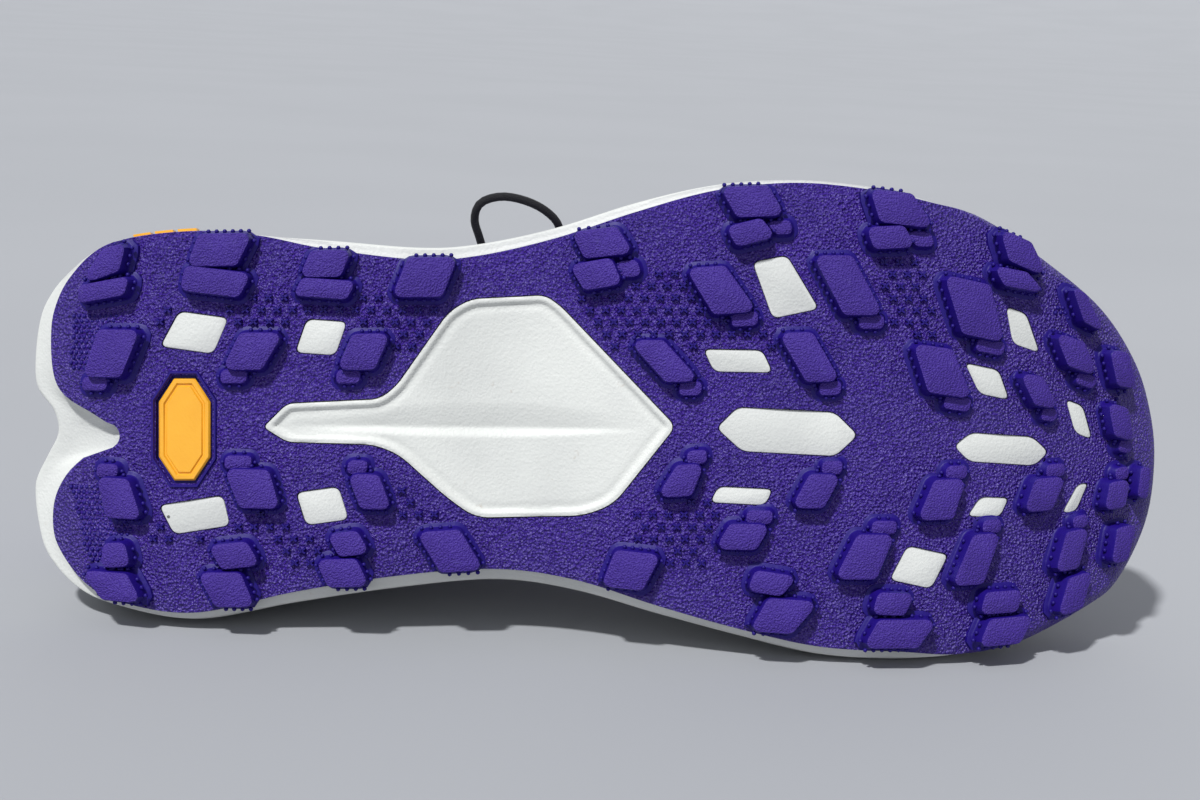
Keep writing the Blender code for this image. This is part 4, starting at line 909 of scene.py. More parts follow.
def join(target, bm):
    """Adds one bmesh to another."""
    bmesh.ops.recalc_face_normals(bm, faces=bm.faces)
    mesh = mesh_of(bm, "part")
    target.from_mesh(mesh)
    bpy.data.meshes.remove(mesh)


def scatter(target, build, places):
    """Adds one small shape at each place, a few at a time."""
    for start in range(0, len(places), 12):
        few = bmesh.new()
        for place in places[start:start + 12]:
            build(few, place)
        join(target, few)


def add_stud(bm, place):
    """A small round stud."""
    bmesh.ops.create_uvsphere(bm, u_segments=7, v_segments=5, radius=STUD_RADIUS, matrix=Matrix.Translation(place))


def add_cross(bm, place):
    """A cross stud: two short drafted bars."""
    here = Matrix.Translation(place)
    for angle in (CROSS_TURN, -CROSS_TURN):
        turn = here @ Matrix.Rotation(math.radians(angle), 4, "Z")
        bar = bmesh.ops.create_cube(bm, size=1, matrix=turn @ Matrix.Diagonal((*CROSS_BAR, 1)))["verts"]
        low = [v for v in bar if v.co.z < place.z]
        bmesh.ops.scale(bm, vec=(.72, .55, 1), space=turn.inverted(), verts=low)


def polygon(bm, corners):
    """A flat face that looks down to the ground."""
    face = bm.faces.new([bm.verts.new(corner) for corner in corners])
    face.normal_update()
    if face.normal.z > 0:
        face.normal_flip()
    return face


def round_corners(bm, face, radius):
    """Rounds each corner of the only face to one radius."""
    for vert in list(face.verts):
        one, two = ((edge.other_vert(vert).co - vert.co) for edge in vert.link_edges)
        reach = radius / math.tan(one.angle(two) / 2)
        room = .42 * min(one.length, two.length)
        bmesh.ops.bevel(bm, geom=[vert], affect="VERTICES", offset=min(reach, room), segments=3, profile=.5,
                        material=-1)
    bm.faces.ensure_lookup_table()
    return bm.faces[0]


def grow_rim(bm, rim, out, high):
    """Extrudes a closed rim outwards in its plane and up or down, and returns the new rim."""
    middle = sum((v.co for edge in rim for v in edge.verts), Vector()) / (2 * len(rim))
    verts, edges = extruded(bm, rim)
    moves = []
    for vert in verts:
        normals = []
        for edge in vert.link_edges:
            if edge in edges:
                run = edge.verts[1].co - edge.verts[0].co
                normal = Vector((run.y, -run.x, 0)).normalized()
                centre = (edge.verts[0].co + edge.verts[1].co) / 2 - middle
                normals.append(normal if normal.dot(centre) > 0 else -normal)
        both = normals[0] + normals[1]
        moves.append(both * (out / (1 + normals[0].dot(normals[1]))) + Vector((0, 0, high)))
    for vert, move in zip(verts, moves):
        vert.co += move
    return edges


# A lug's wall from its foot in the sheet to its top: how far out from the top's edge and how high
Wall = namedtuple("Wall", "out high")
LUG_TOP = table(Wall, ((-.0002, .00010), (.00012, -.00006), (.00026, -.00042)))
LUG_WALL = table(Wall, (
    (.00058, .0012), (.00070, .00062), (.00086, .00030), (.00110, .00012), (.00158, .00008), (.00184, -.00008),
    (.00190, -.0012),
))


def lug_frame(corners, tall):
    """Where a lug's top is, how it slants, and its height."""
    x = sum(c[0] for c in corners) / len(corners)
    slope = (ground(x + .001) - ground(x - .001)) / .002
    slant = math.hypot(1, slope)
    lean = slope / slant * LUG_HEIGHT * tall
    return x, slope, LUG_HEIGHT + ground(x - lean) - LUG_HEIGHT * tall / slant, LUG_HEIGHT * tall


def build_lug(target, corners, tall, sheet):
    """A moulded block: grained top with a rolled edge, drafted wall and a smooth fillet at its foot."""
    x, slope, top, height = lug_frame(corners, tall)
    y = sum(c[1] for c in corners) / len(corners)
    bm = bmesh.new()
    face = polygon(bm, [(a - x, b - y, LUG_TOP[0].high) for a, b in inset(corners, -LUG_TOP[0].out)])
    face = round_corners(bm, face, LUG_CORNER)
    rim = list(face.edges)
    rows = LUG_TOP + [Wall(row.out, row.high - height) for row in LUG_WALL if row.high < height - .001]
    for number, (one, two) in enumerate(zip(rows, rows[1:])):
        rim = grow_rim(bm, rim, two.out - one.out, two.high - one.high)
        for item in {f for edge in rim for f in edge.link_faces}:
            item.material_index = min(number, 1)
    turn = Matrix(((1, 0, slope, 0), (0, 1, 0, 0), (slope, 0, -1, 0), (0, 0, 0, 1)))
    bmesh.ops.transform(bm, matrix=Matrix.Translation((x, y, top)) @ turn, verts=bm.verts)
    centre = Vector((x, y, 0))
    for vert in bm.verts:
        away = Vector((vert.co.x, vert.co.y, 0)) - centre
        depth = vert.co.z - top - slope * (vert.co.x - x)
        if depth > height - .0004 and away.length > .001:
            if hit_from_below(sheet, vert.co.x + away.x * .03, vert.co.y + away.y * .03) is None:
                vert.co -= away.normalized() * min(.0010, .25 * away.length)
    join(target, bm)


def surrounds(outline, x, y):
    """Whether a closed outline goes round a place."""
    found = False
    for (ax, ay), (bx, by) in zip(outline, outline[1:] + outline[:1]):
        if (ay > y) != (by > y) and x < ax + (bx - ax) * (y - ay) / (by - ay):
            found = not found
    return found


def window_outlines(inside=0.0):
    """The windows' outlines, each moved inwards."""
    found = [inset(four_sided(row, WINDOW_SIZE), inside) for row in WINDOWS]
    return [rounded(corners, [WINDOW_ROUND] * len(corners), 5) for corners in found]


WINDOW_EDGES = window_outlines(-.0005)


def wall_studs(target, corners, tall):
    """Small round studs along the foot of a lug's wall."""
    x, slope, top, height = lug_frame(corners, tall)
    ring = inset(corners, -.00084)
    high, places = min(STUD_ROW_HEIGHT, height * .5), []
    for one, two in zip(ring, ring[1:] + ring[:1]):
        run = math.dist(one, two)
        room = run - 2 * STUD_END
        count = max(1, round(room / STUD_SPACING))
        for i in range(count):
            share = (STUD_END + room * (i + .5) / count) / run
            a, b = one[0] + (two[0] - one[0]) * share, one[1] + (two[1] - one[1]) * share
            place = Vector((a - slope * (height - high), b, top + slope * (a - x) + height - high))
            if not any(surrounds(window, *place.xy) for window in WINDOW_EDGES):
                places.append(place)
    scatter(target, add_stud, places)


class ShoeSettings(bpy.types.PropertyGroup):
    """Sizes that a user may change."""

    stud_pitch: bpy.props.FloatProperty(name="Stud Pitch", description="Distance between cross studs along the sole",
                                        default=.00377, unit="LENGTH")
    dot_pitch: bpy.props.FloatProperty(name="Dot Pitch", description="Distance between round studs at heel and toe",
                                       default=.0014, unit="LENGTH")
    stitch_length: bpy.props.FloatProperty(name="Stitch Length", description="Distance from one stitch to the next",
                                           default=.0026, unit="LENGTH")
    focal_length: bpy.props.FloatProperty(name="Focal Length", description="The camera's lens in millimetres",
                                          default=51.27)


def fine_spokes():
    """The solids' spokes at about three times their number."""
    stations = spread(*STATIONS, 96)
    round_heel = [math.radians(-90 - 1.5 * i) for i in range(120)]
    round_toe = [math.pi / 2 - math.pi * i / 64 for i in range(64)]
    return ([Spoke(HEEL_CENTRE, (math.cos(angle), math.sin(angle))) for angle in round_heel]
            + [spoke_at(at * LENGTH, 1) for at in stations[:-1]]
            + [Spoke(TOE_CENTRE, (math.cos(angle), math.sin(angle))) for angle in round_toe]
            + [spoke_at(at * LENGTH, -1) for at in reversed(stations[1:])])


def soften_notch(spokes):
    """Eases the sides of the heel's notch in the outsole's sheet, turned a little to the medial side, and
    rounds its end."""
    weights = (.06, .12, .19, .26, .19, .12, .06)
    count, turned = len(spokes), 2
    for _ in range(4):
        fresh = [sum(w * spokes[(i + j - 3) % count].bare for j, w in enumerate(weights)) for i in range(count)]
        for spoke, bare in zip(spokes[:120], fresh[:120]):
            spoke.bare = bare
    moved = [spokes[i].bare for i in range(100)]
    for i in range(20, 100):
        spokes[i].bare = moved[i - turned]
    for spoke in spokes[:120]:
        way = NOTCH_TIP - Vector(spoke.origin)
        ahead = way.dot(Vector(spoke.direction))
        off = way.length_squared - ahead * ahead
        if off < NOTCH_RADIUS ** 2:
            spoke.bare = max(spoke.bare, spoke.foam - ahead + math.sqrt(NOTCH_RADIUS ** 2 - off))
    return spokes


SPOKES = soften_notch(fine_spokes())


def rounded_line(points, radius):
    """An open line with its inner corners rounded off."""
    found = [points[0]]
    for before, here, after in zip(points, points[1:], points[2:]):
        here, one, two = Vector(here), Vector(before) - Vector(here), Vector(after) - Vector(here)
        if min(one.length, two.length) < 1e-6:
            found += [tuple(here)] * 3
            continue
        trim = min(radius, .4 * one.length, .4 * two.length)
        start, end = here + one.normalized() * trim, here + two.normalized() * trim
        found += [tuple(start), tuple(start * .25 + here * .5 + end * .25), tuple(end)]
    return found + [points[-1]]


def turned_body(profile):
    """A closed body grown row by row from a ring, where each spoke gives the ring's next place."""
    lines = [profile(spoke) for spoke in SPOKES]
    bm = bmesh.new()
    bmesh.ops.create_circle(bm, segments=len(SPOKES), radius=1)
    ring = list(bm.edges)
    order = [ring[0].verts[0]]
    while len(order) < len(SPOKES):
        around = (edge.other_vert(order[-1]) for edge in order[-1].link_edges)
        order.append(next(vert for vert in around if vert not in order[-2:]))
    for row in range(len(lines[0])):
        if row:
            verts, ring = extruded(bm, ring)
            new = set(verts)
            order = [next(e.other_vert(vert) for e in vert.link_edges if e.other_vert(vert) in new) for vert in order]
        for vert, spoke, line in zip(order, SPOKES, lines):
            vert.co = spoke.point(*line[row])
    bmesh.ops.remove_doubles(bm, verts=bm.verts, dist=2e-6)
    bmesh.ops.dissolve_degenerate(bm, edges=bm.edges, dist=1e-6)
    bmesh.ops.recalc_face_normals(bm, faces=bm.faces)
    return bm


def prism(bm, outline, below, above):
    """A block with an outline, between two heights from the outsole's outer face."""
    face = polygon(bm, [(x, y, base_at(x, y) + below) for x, y in outline])
    grown = bmesh.ops.extrude_face_region(bm, geom=[face])["geom"]
    for item in grown:
        if isinstance(item, bmesh.types.BMVert):
            item.co.z += above - below
    return face


def cut(bm, cutters, operation="DIFFERENCE"):
    """One bmesh cut by another."""
    objects = []
    for name, item in (("body", bm), ("cutter", cutters)):
        bmesh.ops.recalc_face_normals(item, faces=item.faces)
        objects.append(object_of(name, mesh_of(item, name)))
    change = objects[0].modifiers.new("cut", "BOOLEAN")
    change.operation, change.solver, change.object = operation, "EXACT", objects[1]
    bpy.context.view_layer.update()
    result = bmesh.new()
    result.from_mesh(objects[0].evaluated_get(bpy.context.evaluated_depsgraph_get()).to_mesh())
    for item in objects:
        bpy.data.meshes.remove(item.data)
    return result


def arch_outline(inside=0.0):
    """The arch plate's outline, moved inwards."""
    corners = inset([(c.at * LENGTH, c.across * BALL_WIDTH) for c in ARCH], inside)
    return rounded(corners, [max(BEAD_WIDTH / 2, c.radius * WINDOW_SIZE - inside) for c in ARCH], 6)


def sheet_line(spoke):
    """The outsole sheet's section: its face, rolled edge, the wrap at the toe and the way back inside."""
    edge = spoke.foam - spoke.bare
    outer = face_heights(spoke, edge, (0, .2, .4, .6, .75, .86, .94), 0)
    low = base(along(spoke, edge), edge / spoke.edge)
    wrap = min(1.0, 1.6 * spoke.wrap) * (SHEET + GAP)
    top = low + SHEET + spoke.wrap * TOE_WRAP
    sheet = wrap * SHEET / (SHEET + GAP)
    corner = rounded_line([outer[-1], (edge + wrap * .1, low + wrap * .05), (edge + wrap, low + wrap * .8 + .0006),
                           (edge + wrap, top)], .0008)
    inner = face_heights(spoke, edge, (.9, .6, 0), SHEET)
    inside_edge = edge + wrap - sheet - .0002
    return outer[:-1] + corner + [(inside_edge, top), (inside_edge, low + SHEET)] + inner


def foam_line(spoke):
    """The midsole's section: face, flared rim, stepped side and the cup round the upper."""
    edge, reach, lift = spoke.foam - spoke.bare, spoke.foam, SHEET + GAP
    found = face_heights(spoke, edge, (0, .5, .9), lift)
    low = base(along(spoke, edge), edge / spoke.edge) + lift
    rim = base(along(spoke, reach), 1) + lift
    cup = spoke.foot
    top = bed(along(spoke, cup)) + CUP_HEIGHT
    step = rim + FLARE_HEIGHT + (top - rim - FLARE_HEIGHT) * STEP_UP
    shoulder = reach + (cup - reach) * STEP_IN
    inner = cup - CUP_WALL
    sunk = min(NOTCH_HOLLOW, .12 * spoke.bare)
    bare = [(edge + (reach - edge) * share, low + (rim - low) * share + sunk * math.sin(math.pi * share))
            for share in (.25, .5, .75)]
    side = rounded_line([
        bare[-1], (reach - .18 * RIM_SHOWS, rim + .05 * FLARE_HEIGHT), (reach, rim + .5 * FLARE_HEIGHT),
        (reach, rim + FLARE_HEIGHT), (shoulder, step), (shoulder - SIDE_STEP, step + SIDE_STEP * .8),
        (cup, top - CUP_ROUND), (cup - CUP_ROUND, top), (inner, top),
    ], .0011)
    return found + [(edge - .0004, low), (edge, low)] + bare[:-1] + side + [
        (inner, bed(along(spoke, inner))), (inner * .6, bed(along(spoke, inner * .6))), (0, bed(spoke.origin[0]))]


def outline_distance(points, outline):
    """How far each of some points lies from a closed outline."""
    best = np.full(len(points), np.inf)
    for a, b in zip(outline, outline[1:] + outline[:1]):
        a, run = np.array(a), np.array(b) - np.array(a)
        share = np.clip(((points - a) @ run) / max(run @ run, 1e-12), 0, 1)
        best = np.minimum(best, np.linalg.norm(points - a - share[:, None] * run, axis=1))
    return best


def plate_height(x, y, far):
    """The arch plate's height over the outsole's face: round bead, soft valley and the long trough."""
    bead = max(0.0, 1 - ((far - BEAD_AT) / EDGE_WIDTH) ** 2) if far < BEAD_AT + EDGE_WIDTH else 0.0
    valley = math.exp(-((far - VALLEY_AT) / EDGE_WIDTH) ** 2)
    height = PAD_SUNK - (BEAD_PROUD + PAD_SUNK) * bead ** .6 + VALLEY_DEPTH * valley
    at = x / LENGTH
    if TROUGH[0].at - .02 < at < TROUGH[-1].at + .02:
        lateral, bottom, medial = (read(TROUGH, at, name) * BALL_WIDTH for name in ("lateral", "bottom", "medial"))
        ends = min(1.0, (at - TROUGH[0].at + .02) / .03, (TROUGH[-1].at + .02 - at) / .05)
        if lateral < y < medial:
            share = (y - lateral) / (bottom - lateral) if y < bottom else (medial - y) / (medial - bottom)
            soft = share ** 1.35 if y < bottom else eased(share)
            height += read(TROUGH, at, "deep") * TROUGH_DEPTH * soft * ends * min(1.0, far / .0022)
    return height


def build_arch_plate():
    """The arch plate: a fine grid shaped by its bead and trough, then cut to its outline."""
    outline = arch_outline(GAP)
    bm = bmesh.new()
    xs, ys = [p[0] for p in outline], [p[1] for p in outline]
    wide, tall = (max(xs) - min(xs)) / 2 + .001, (max(ys) - min(ys)) / 2 + .001
    middle_of = Vector(((max(xs) + min(xs)) / 2, (max(ys) + min(ys)) / 2, 0))
    bmesh.ops.create_grid(bm, x_segments=round(2 * wide / PLATE_CELL), y_segments=round(2 * tall / PLATE_CELL),
                          size=1, matrix=Matrix.Translation(middle_of) @ Matrix.Diagonal((wide, tall, 1, 1)))
    places = np.array([v.co[:2] for v in bm.verts])
    for vert, far in zip(list(bm.verts), outline_distance(places, outline)):
        vert.co.z = LUG_HEIGHT + ground(vert.co.x) + plate_height(vert.co.x, vert.co.y, far)
    skirt, loop = extruded(bm, [edge for edge in bm.edges if edge.is_boundary])
    for vert in skirt:
        vert.co.z = LUG_HEIGHT + ARCH_RISE + SHEET + .004
    bmesh.ops.contextual_create(bm, geom=loop)
    block = bmesh.new()
    prism(block, outline, -.002, .0080)
    return cut(bm, block, "INTERSECT")


def insole_line(spoke):
    """The insole from its middle underneath, round its turned-up rim and back over its soft top."""
    reach = upper_reach(spoke) - WALL - LAYER_GAP
    low = [(reach * share, bed(along(spoke, reach * share)) + LAYER_GAP) for share in (0, .3, .6, .8, .9, .96, 1)]
    high = [(far * (1 - INSOLE_TAPER), z + INSOLE_THICK + EDGE_ROLL * (far / reach) ** 6) for far, z in reversed(low)]
    rim = (reach * (1 - INSOLE_TAPER * .3), (low[-1][1] + high[0][1]) / 2)
    return low + [rim] + high


class SHOE_OT_sole_finish(bpy.types.Operator):
    """Builds the outsole's sheet, the midsole, its pads, the arch plate and the insole, and gives the side bars their
    finish
    """

    bl_idname = "shoe.sole_finish"
    bl_label = "Build Sole"

    def execute(self, context):
        holes = bmesh.new()
        for outline in window_outlines() + [arch_outline(), inset(badge_corners(), -.0007)]:
            prism(holes, outline, -2 * SHEET, 3 * SHEET)
        sheet = piece("outsole_sheet", cut(turned_body(sheet_line), holes), ["grained_rubber"])
        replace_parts(sheet, "outsole")
        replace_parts(piece("midsole_body", turned_body(foam_line), ["moulded_foam"]), "midsole")
        pads = bmesh.new()
        for outline in window_outlines(GAP / 2):
            pad = bmesh.new()
            face = prism(pad, outline, PAD_SUNK, SHEET + .0008)
            bmesh.ops.bevel(pad, geom=list(face.edges), affect="EDGES", offset=.00028, segments=2, profile=.5,
                            material=-1)
            join(pads, pad)
        pin = bmesh.new()
        bmesh.ops.create_cone(pin, cap_ends=True, segments=16, radius1=PINHOLE_RADIUS, radius2=PINHOLE_RADIUS,
                              depth=.0024, matrix=Matrix.Translation((*PINHOLE, base_at(*PINHOLE))))
        piece("window_pads", cut(pads, pin), ["moulded_foam"])
        piece("arch_plate", build_arch_plate(), ["moulded_foam"])
        bed_of_badge = bmesh.new()
        prism(bed_of_badge, inset(badge_corners(), -.0010), SHEET * .75, SHEET * .95)
        piece("badge_bed", bed_of_badge, ["smooth_rubber"])
        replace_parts(piece("padded_insole", turned_body(insole_line), ["brushed_lining"]), "insole")
        for number in (1, 2, 3):
            paint_node(f"side_bar_{number}", "amber_plastic")
        return {"FINISHED"}


class SHOE_OT_lugs(bpy.types.Operator):
    """Covers the outsole's lugs with moulded blocks and studs their walls"""

    bl_idname = "shoe.lugs"
    bl_label = "Build Lugs"

    def execute(self, context):
        sheet = tree_of("outsole")
        blocks, studs = bmesh.new(), bmesh.new()
        for lug in LUGS:
            corners = four_sided(lug, LUG_SIZE)
            build_lug(blocks, corners, lug.tall, sheet)
            if lug.tall == 1:
                wall_studs(studs, corners, lug.tall)
            if lug.tab:
                build_lug(blocks, tab_corners(lug), TAB_HEIGHT, sheet)
                wall_studs(studs, tab_corners(lug), TAB_HEIGHT)
        piece("lug_blocks", blocks, ["lug_rubber", "smooth_rubber"])
        piece("lug_wall_studs", studs, ["smooth_rubber"])
        return {"FINISHED"}


# Patches of cross studs, as four corners in shares of LENGTH and BALL_WIDTH
Patch = namedtuple("Patch", "x0 y0 x1 y1 x2 y2 x3 y3")
CROSS_PATCHES = table(Patch, (
    (.117, -.265, .324, -.285, .324, -.220, .117, -.210), (.285, -.230, .360, -.268, .335, -.160, .318, -.160),
    (.232, -.160, .270, -.160, .270, -.128, .232, -.132), (.472, -.295, .586, -.345, .586, -.172, .498, -.172),
    (.580, -.225, .645, -.225, .645, -.172, .580, -.172), (.733, -.400, .788, -.345, .780, -.195, .740, -.205),
    (.518, .155, .598, .145, .598, .268, .530, .295), (.320, .100, .361, .175, .332, .195, .311, .145),
    (.110, .170, .210, .195, .145, .235, .110, .225), (.207, .172, .270, .235, .244, .290, .212, .235),
))
DOT_PATCHES = table(Patch, (
    (.044, -.245, .086, -.245, .075, -.120, .040, -.125), (.040, .110, .082, .110, .110, .290, .060, .290),
    (.905, -.330, .935, -.300, .930, -.200, .893, -.250), (.955, -.090, .985, -.090, .985, .080, .960, .080),
    (.945, .290, .965, .270, .940, .345, .925, .345),
))

AROUND = ((0, 0), (1, 1), (1, -1), (-1, 1), (-1, -1))


def inside(patch, x, y):
    """Whether a place lies in a patch."""
    return surrounds([(patch[i] * LENGTH, patch[i + 1] * BALL_WIDTH) for i in (0, 2, 4, 6)], x, y)


class SHOE_OT_tread_studs(bpy.types.Operator):
    """Covers patches of the outsole with small cross studs and dots"""

    bl_idname = "shoe.tread_studs"
    bl_label = "Build Fine Tread"

    def execute(self, context):
        settings = context.scene.shoe_settings
        sheet = tree_of("outsole")
        crosses, dots = bmesh.new(), bmesh.new()
        for patches, pitch, shift, rows, target in (
            (CROSS_PATCHES, settings.stud_pitch, .53, .77, crosses), (DOT_PATCHES, settings.dot_pitch, .5, .9, dots),
        ):
            drop, places = pitch * rows, []
            reach = .0012 if target is crosses else .0006
            for j in range(int(-BALL_WIDTH * .6 / drop), int(BALL_WIDTH * .6 / drop)):
                for i in range(-40, int(LENGTH / pitch) + 40):
                    x, y = i * pitch + (j * shift % 1) * pitch, j * drop
                    if not any(inside(patch, x, y) for patch in patches):
                        continue
                    around = [hit_from_below(sheet, x + a * reach, y + b * reach) for a, b in AROUND]
                    if None in around or max(around) - min(around) > .0006:
                        continue
                    if around[0] > LUG_HEIGHT + ground(x) - .0006:
                        places.append(Vector((x, y, around[0])))
            scatter(target, add_cross if target is crosses else add_stud, places)
        piece("cross_studs", crosses, ["smooth_rubber"])
        piece("dot_studs", dots, ["smooth_rubber"])
        return {"FINISHED"}


def step_face(bm, face, steps):
    """Insets a lone face step by step, each with its own way in and out."""
    for inward, outward in steps:
        bmesh.ops.inset_region(bm, faces=[face], thickness=inward, depth=outward, use_even_offset=True,
                               use_boundary=True)


class SHOE_OT_badge(bpy.types.Operator):
    """Builds the plain eight-sided inlay and the rim round its recess"""

    bl_idname = "shoe.badge"
    bl_label = "Build Badge"

    def execute(self, context):
        bm = bmesh.new()
        corners = badge_corners()
        x = sum(c[0] for c in corners) / 8
        level = LUG_HEIGHT + ground(x)
        slope = (ground(x + .004) - ground(x - .004)) / .008
        face = polygon(bm, [(a, b, level + BADGE_SUNK + .0011 + slope * (a - x)) for a, b in corners])
        step_face(bm, face, ((.00001, .0007), (.0004, .0004), (.0008, 0), (.0003, -.00045), (.0003, 0), (.0003, .0004)))
        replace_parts(piece("badge_plate", bm, ["amber_plastic"]), "badge")
        rim = bmesh.new()
        ring = polygon(rim, [(a, b, level + .0004 + slope * (a - x)) for a, b in inset(corners, -.0018)])
        step_face(rim, ring, ((.0003, .0009), (.0004, 0), (.0003, -.0009)))
        bmesh.ops.delete(rim, geom=[ring], context="FACES")
        piece("badge_rim", rim, ["smooth_rubber"])
        return {"FINISHED"}


def mapped_grid(columns, rows, place, closed=False):
    """A grid whose points are put where a function of the column and the row says."""
    bm = bmesh.new()
    wide, tall = (columns if closed else columns - 1), rows - 1
    bmesh.ops.create_grid(bm, x_segments=wide, y_segments=tall, size=1)
    spots = {}
    for vert in bm.verts:
        column, row = round((vert.co.x + 1) / 2 * wide), round((vert.co.y + 1) / 2 * tall)
        spots[vert] = (column % columns, row)
    for vert, (column, row) in spots.items():
        vert.co = place(column, row)
    for face in bm.faces:
        row = min(spots[vert][1] for vert in face.verts)
        face.material_index = row
    bmesh.ops.remove_doubles(bm, verts=bm.verts, dist=3e-6)
    bmesh.ops.dissolve_degenerate(bm, edges=bm.edges, dist=1e-6)
    return bm


def plain(bm):
    """Gives all faces the first finish and turns them outwards."""
    for face in bm.faces:
        face.material_index = 0
    bmesh.ops.recalc_face_normals(bm, faces=bm.faces)
    return bm


# Creases of the worn upper: where each runs, how far it reaches round, and how deep and wide it is
Crease = namedtuple("Crease", "at side low high lean deep wide")
CREASES = table(Crease, (
    (.775, -1, .50, 1.00, -.020, .00080, .0042), (.775, 1, .55, 1.00, .012, .00070, .0045),
    (.742, -1, .35, .98, -.034, -.00050, .0050), (.742, 1, .40, .98, .024, -.00045, .0050),
    (.712, -1, .30, .90, -.045, .00075, .0045), (.712, 1, .35, .90, .030, .00070, .0046),
    (.640, -1, .20, .62, .030, .00045, .0055), (.655, 1, .22, .60, -.030, .00045, .0055),
    (.330, -1, .40, .92, .060, .00090, .0060), (.318, 1, .42, .92, .055, .00085, .0060),
    (.290, -1, .30, .80, .060, -.00060, .0060), (.120, -1, .45, .85, .030, .00055, .0060),
    (.110, 1, .45, .85, .030, .00055, .0060), (.500, 1, .25, .60, -.050, .00040, .0070),
))


def creased(spoke, share):
    """How far the upper's outside lies in or out at a share of the way up to its rim."""
    found = 0.0
    for crease in CREASES:
        if crease.side * spoke.direction[1] <= 0:
            continue
        if not crease.low < share < crease.high + 1e-9:
            continue
        part = (share - crease.low) / (crease.high - crease.low)
        off = (along(spoke, .6 * spoke.edge) / LENGTH - crease.at - crease.lean * part) * LENGTH / crease.wide
        found -= crease.deep * math.exp(-off * off) * math.sin(math.pi * min(1.0, part * .98 + .02)) ** .6
    return found


def padding(spoke, share):
    """The upper's thickness: one wall, and more towards the collar."""
    return WALL + (COLLAR_PAD - WALL) * eased(held((.39 - spoke.at) / .08) * held((share - .45) / .35))


OUTER_ROWS, ROLL_ROWS, INNER_ROWS = 34, 6, 22


def upper_place(column, row):
    """A place on the upper's outside, over its rolled rim or on its lining."""
    spoke = SPOKES[column]
    rim = RIMS[column]
    if row <= OUTER_ROWS:
        share = row / OUTER_ROWS
        return upper_point(spoke, rim * share, creased(spoke, share))
    thick = padding(spoke, 1)
    if row < OUTER_ROWS + ROLL_ROWS:
        turn = math.pi * (row - OUTER_ROWS) / ROLL_ROWS
        over_rim = 0 if rim > math.pi / 2 - 1e-6 else .45 * thick * math.sin(turn)
        place = upper_point(spoke, rim, -thick / 2 * (1 - math.cos(turn)))
        ahead = upper_point(spoke, rim, 0) - upper_point(spoke, rim - .03, 0)
        return place + ahead.normalized() * (over_rim if ahead.length > 1e-7 else 0)
    share = 1 - (row - OUTER_ROWS - ROLL_ROWS) / INNER_ROWS
    return upper_point(spoke, rim * share, -padding(spoke, share))


RIMS = [rim_angle(spoke) for spoke in SPOKES]


def build_upper():
    """The upper's one skin, with its knit, binding and lining."""
    bm = mapped_grid(len(SPOKES), OUTER_ROWS + ROLL_ROWS + INNER_ROWS + 1, upper_place, closed=True)
    for face in bm.faces:
        row, ridge = face.material_index, face.calc_center_median().x > THROAT_END * LENGTH
        face.material_index = 0 if row < OUTER_ROWS - 1 or ridge and row <= OUTER_ROWS + ROLL_ROWS else (
            2 if row < OUTER_ROWS + ROLL_ROWS + 3 else 1)
    bmesh.ops.recalc_face_normals(bm, faces=bm.faces)
    return bm


def film(spokes, low, high, rows=10):
    """A thin film on the upper between two angles on each spoke, with softly rounded edges."""
    def place(column, row):
        spoke = spokes[column]
        bottom, top = low(spoke), high(spoke)
        if row in (0, rows + 2):
            return upper_point(spoke, bottom if row == 0 else top, .00004)
        share = (row - 1) / rows
        soft = .00075 if row in (1, rows + 1) else FILM_LIFT
        rim = max(.05, rim_angle(spoke))
        lift = soft if 0 < column < len(spokes) - 1 else .00004
        angle = bottom + (top - bottom) * (.012 + .976 * share)
        return upper_point(spoke, angle, lift + creased(spoke, min(1.0, angle / rim)))
    return plain(mapped_grid(len(spokes), rows + 3, place))


def cup_angle(spoke):
    """Just above the midsole's cup."""
    return angle_at_height(spoke, bed(along(spoke, spoke.foot)) + CUP_HEIGHT + .0002)


def cap_top(spoke):
    """The toe cap's upper edge: high over the toes and running down to nothing along the sides."""
    share = max(0.0, spoke.direction[0]) ** .7 if spoke.at > STATIONS[-1] - 1e-6 else 0
    side = eased((along(spoke, spoke.edge) / LENGTH - .765) / .05)
    return cup_angle(spoke) + (math.pi / 2 - cup_angle(spoke)) * (.005 + .155 * side + TOE_CAP_REACH * .8 * share)


def counter_top(spoke):
    """The heel counter's upper edge: highest at the back and falling forwards."""
    share = max(0.0, (.29 - along(spoke, spoke.edge) / LENGTH) / .29)
    rise = .005 + .115 * eased(share / .25) + COUNTER_REACH * 1.2 * share
    return cup_angle(spoke) + (rim_angle(spoke) - cup_angle(spoke)) * rise


def stay_low(spoke):
    """The eyestay's lower edge, which narrows to its point over the toes."""
    narrow = 1 if spoke.at < .70 else math.sqrt(max(.02, 1 - ((spoke.at - .70) / .0505) ** 2))
    return angle_below(spoke, rim_angle(spoke), EYESTAY_BAND * narrow)


def stay_spokes(side):
    """The spokes along one side of the throat."""
    return [spoke_at(at * LENGTH, side) for at in spread(THROAT_TOP + .004, .7495, 70)]


def stitch(target, line, spacing):
    """A row of small thread stitches along a line on a surface."""
    points = [Vector(point) for point in smooth_line(line, spacing)]

    def add_stitch(bm, ends):
        run = ends[1] - ends[0]
        turn = Vector((1, 0, 0)).rotation_difference(run).to_matrix().to_4x4()
        place = Matrix.Translation((ends[0] + ends[1]) / 2) @ turn
        bmesh.ops.create_uvsphere(bm, u_segments=6, v_segments=4, radius=1, matrix=place @ Matrix.Diagonal(
            (.36 * run.length, THREAD_THICK, THREAD_THICK + .00002, 1)))

    scatter(target, add_stitch, list(zip(points, points[1:])))


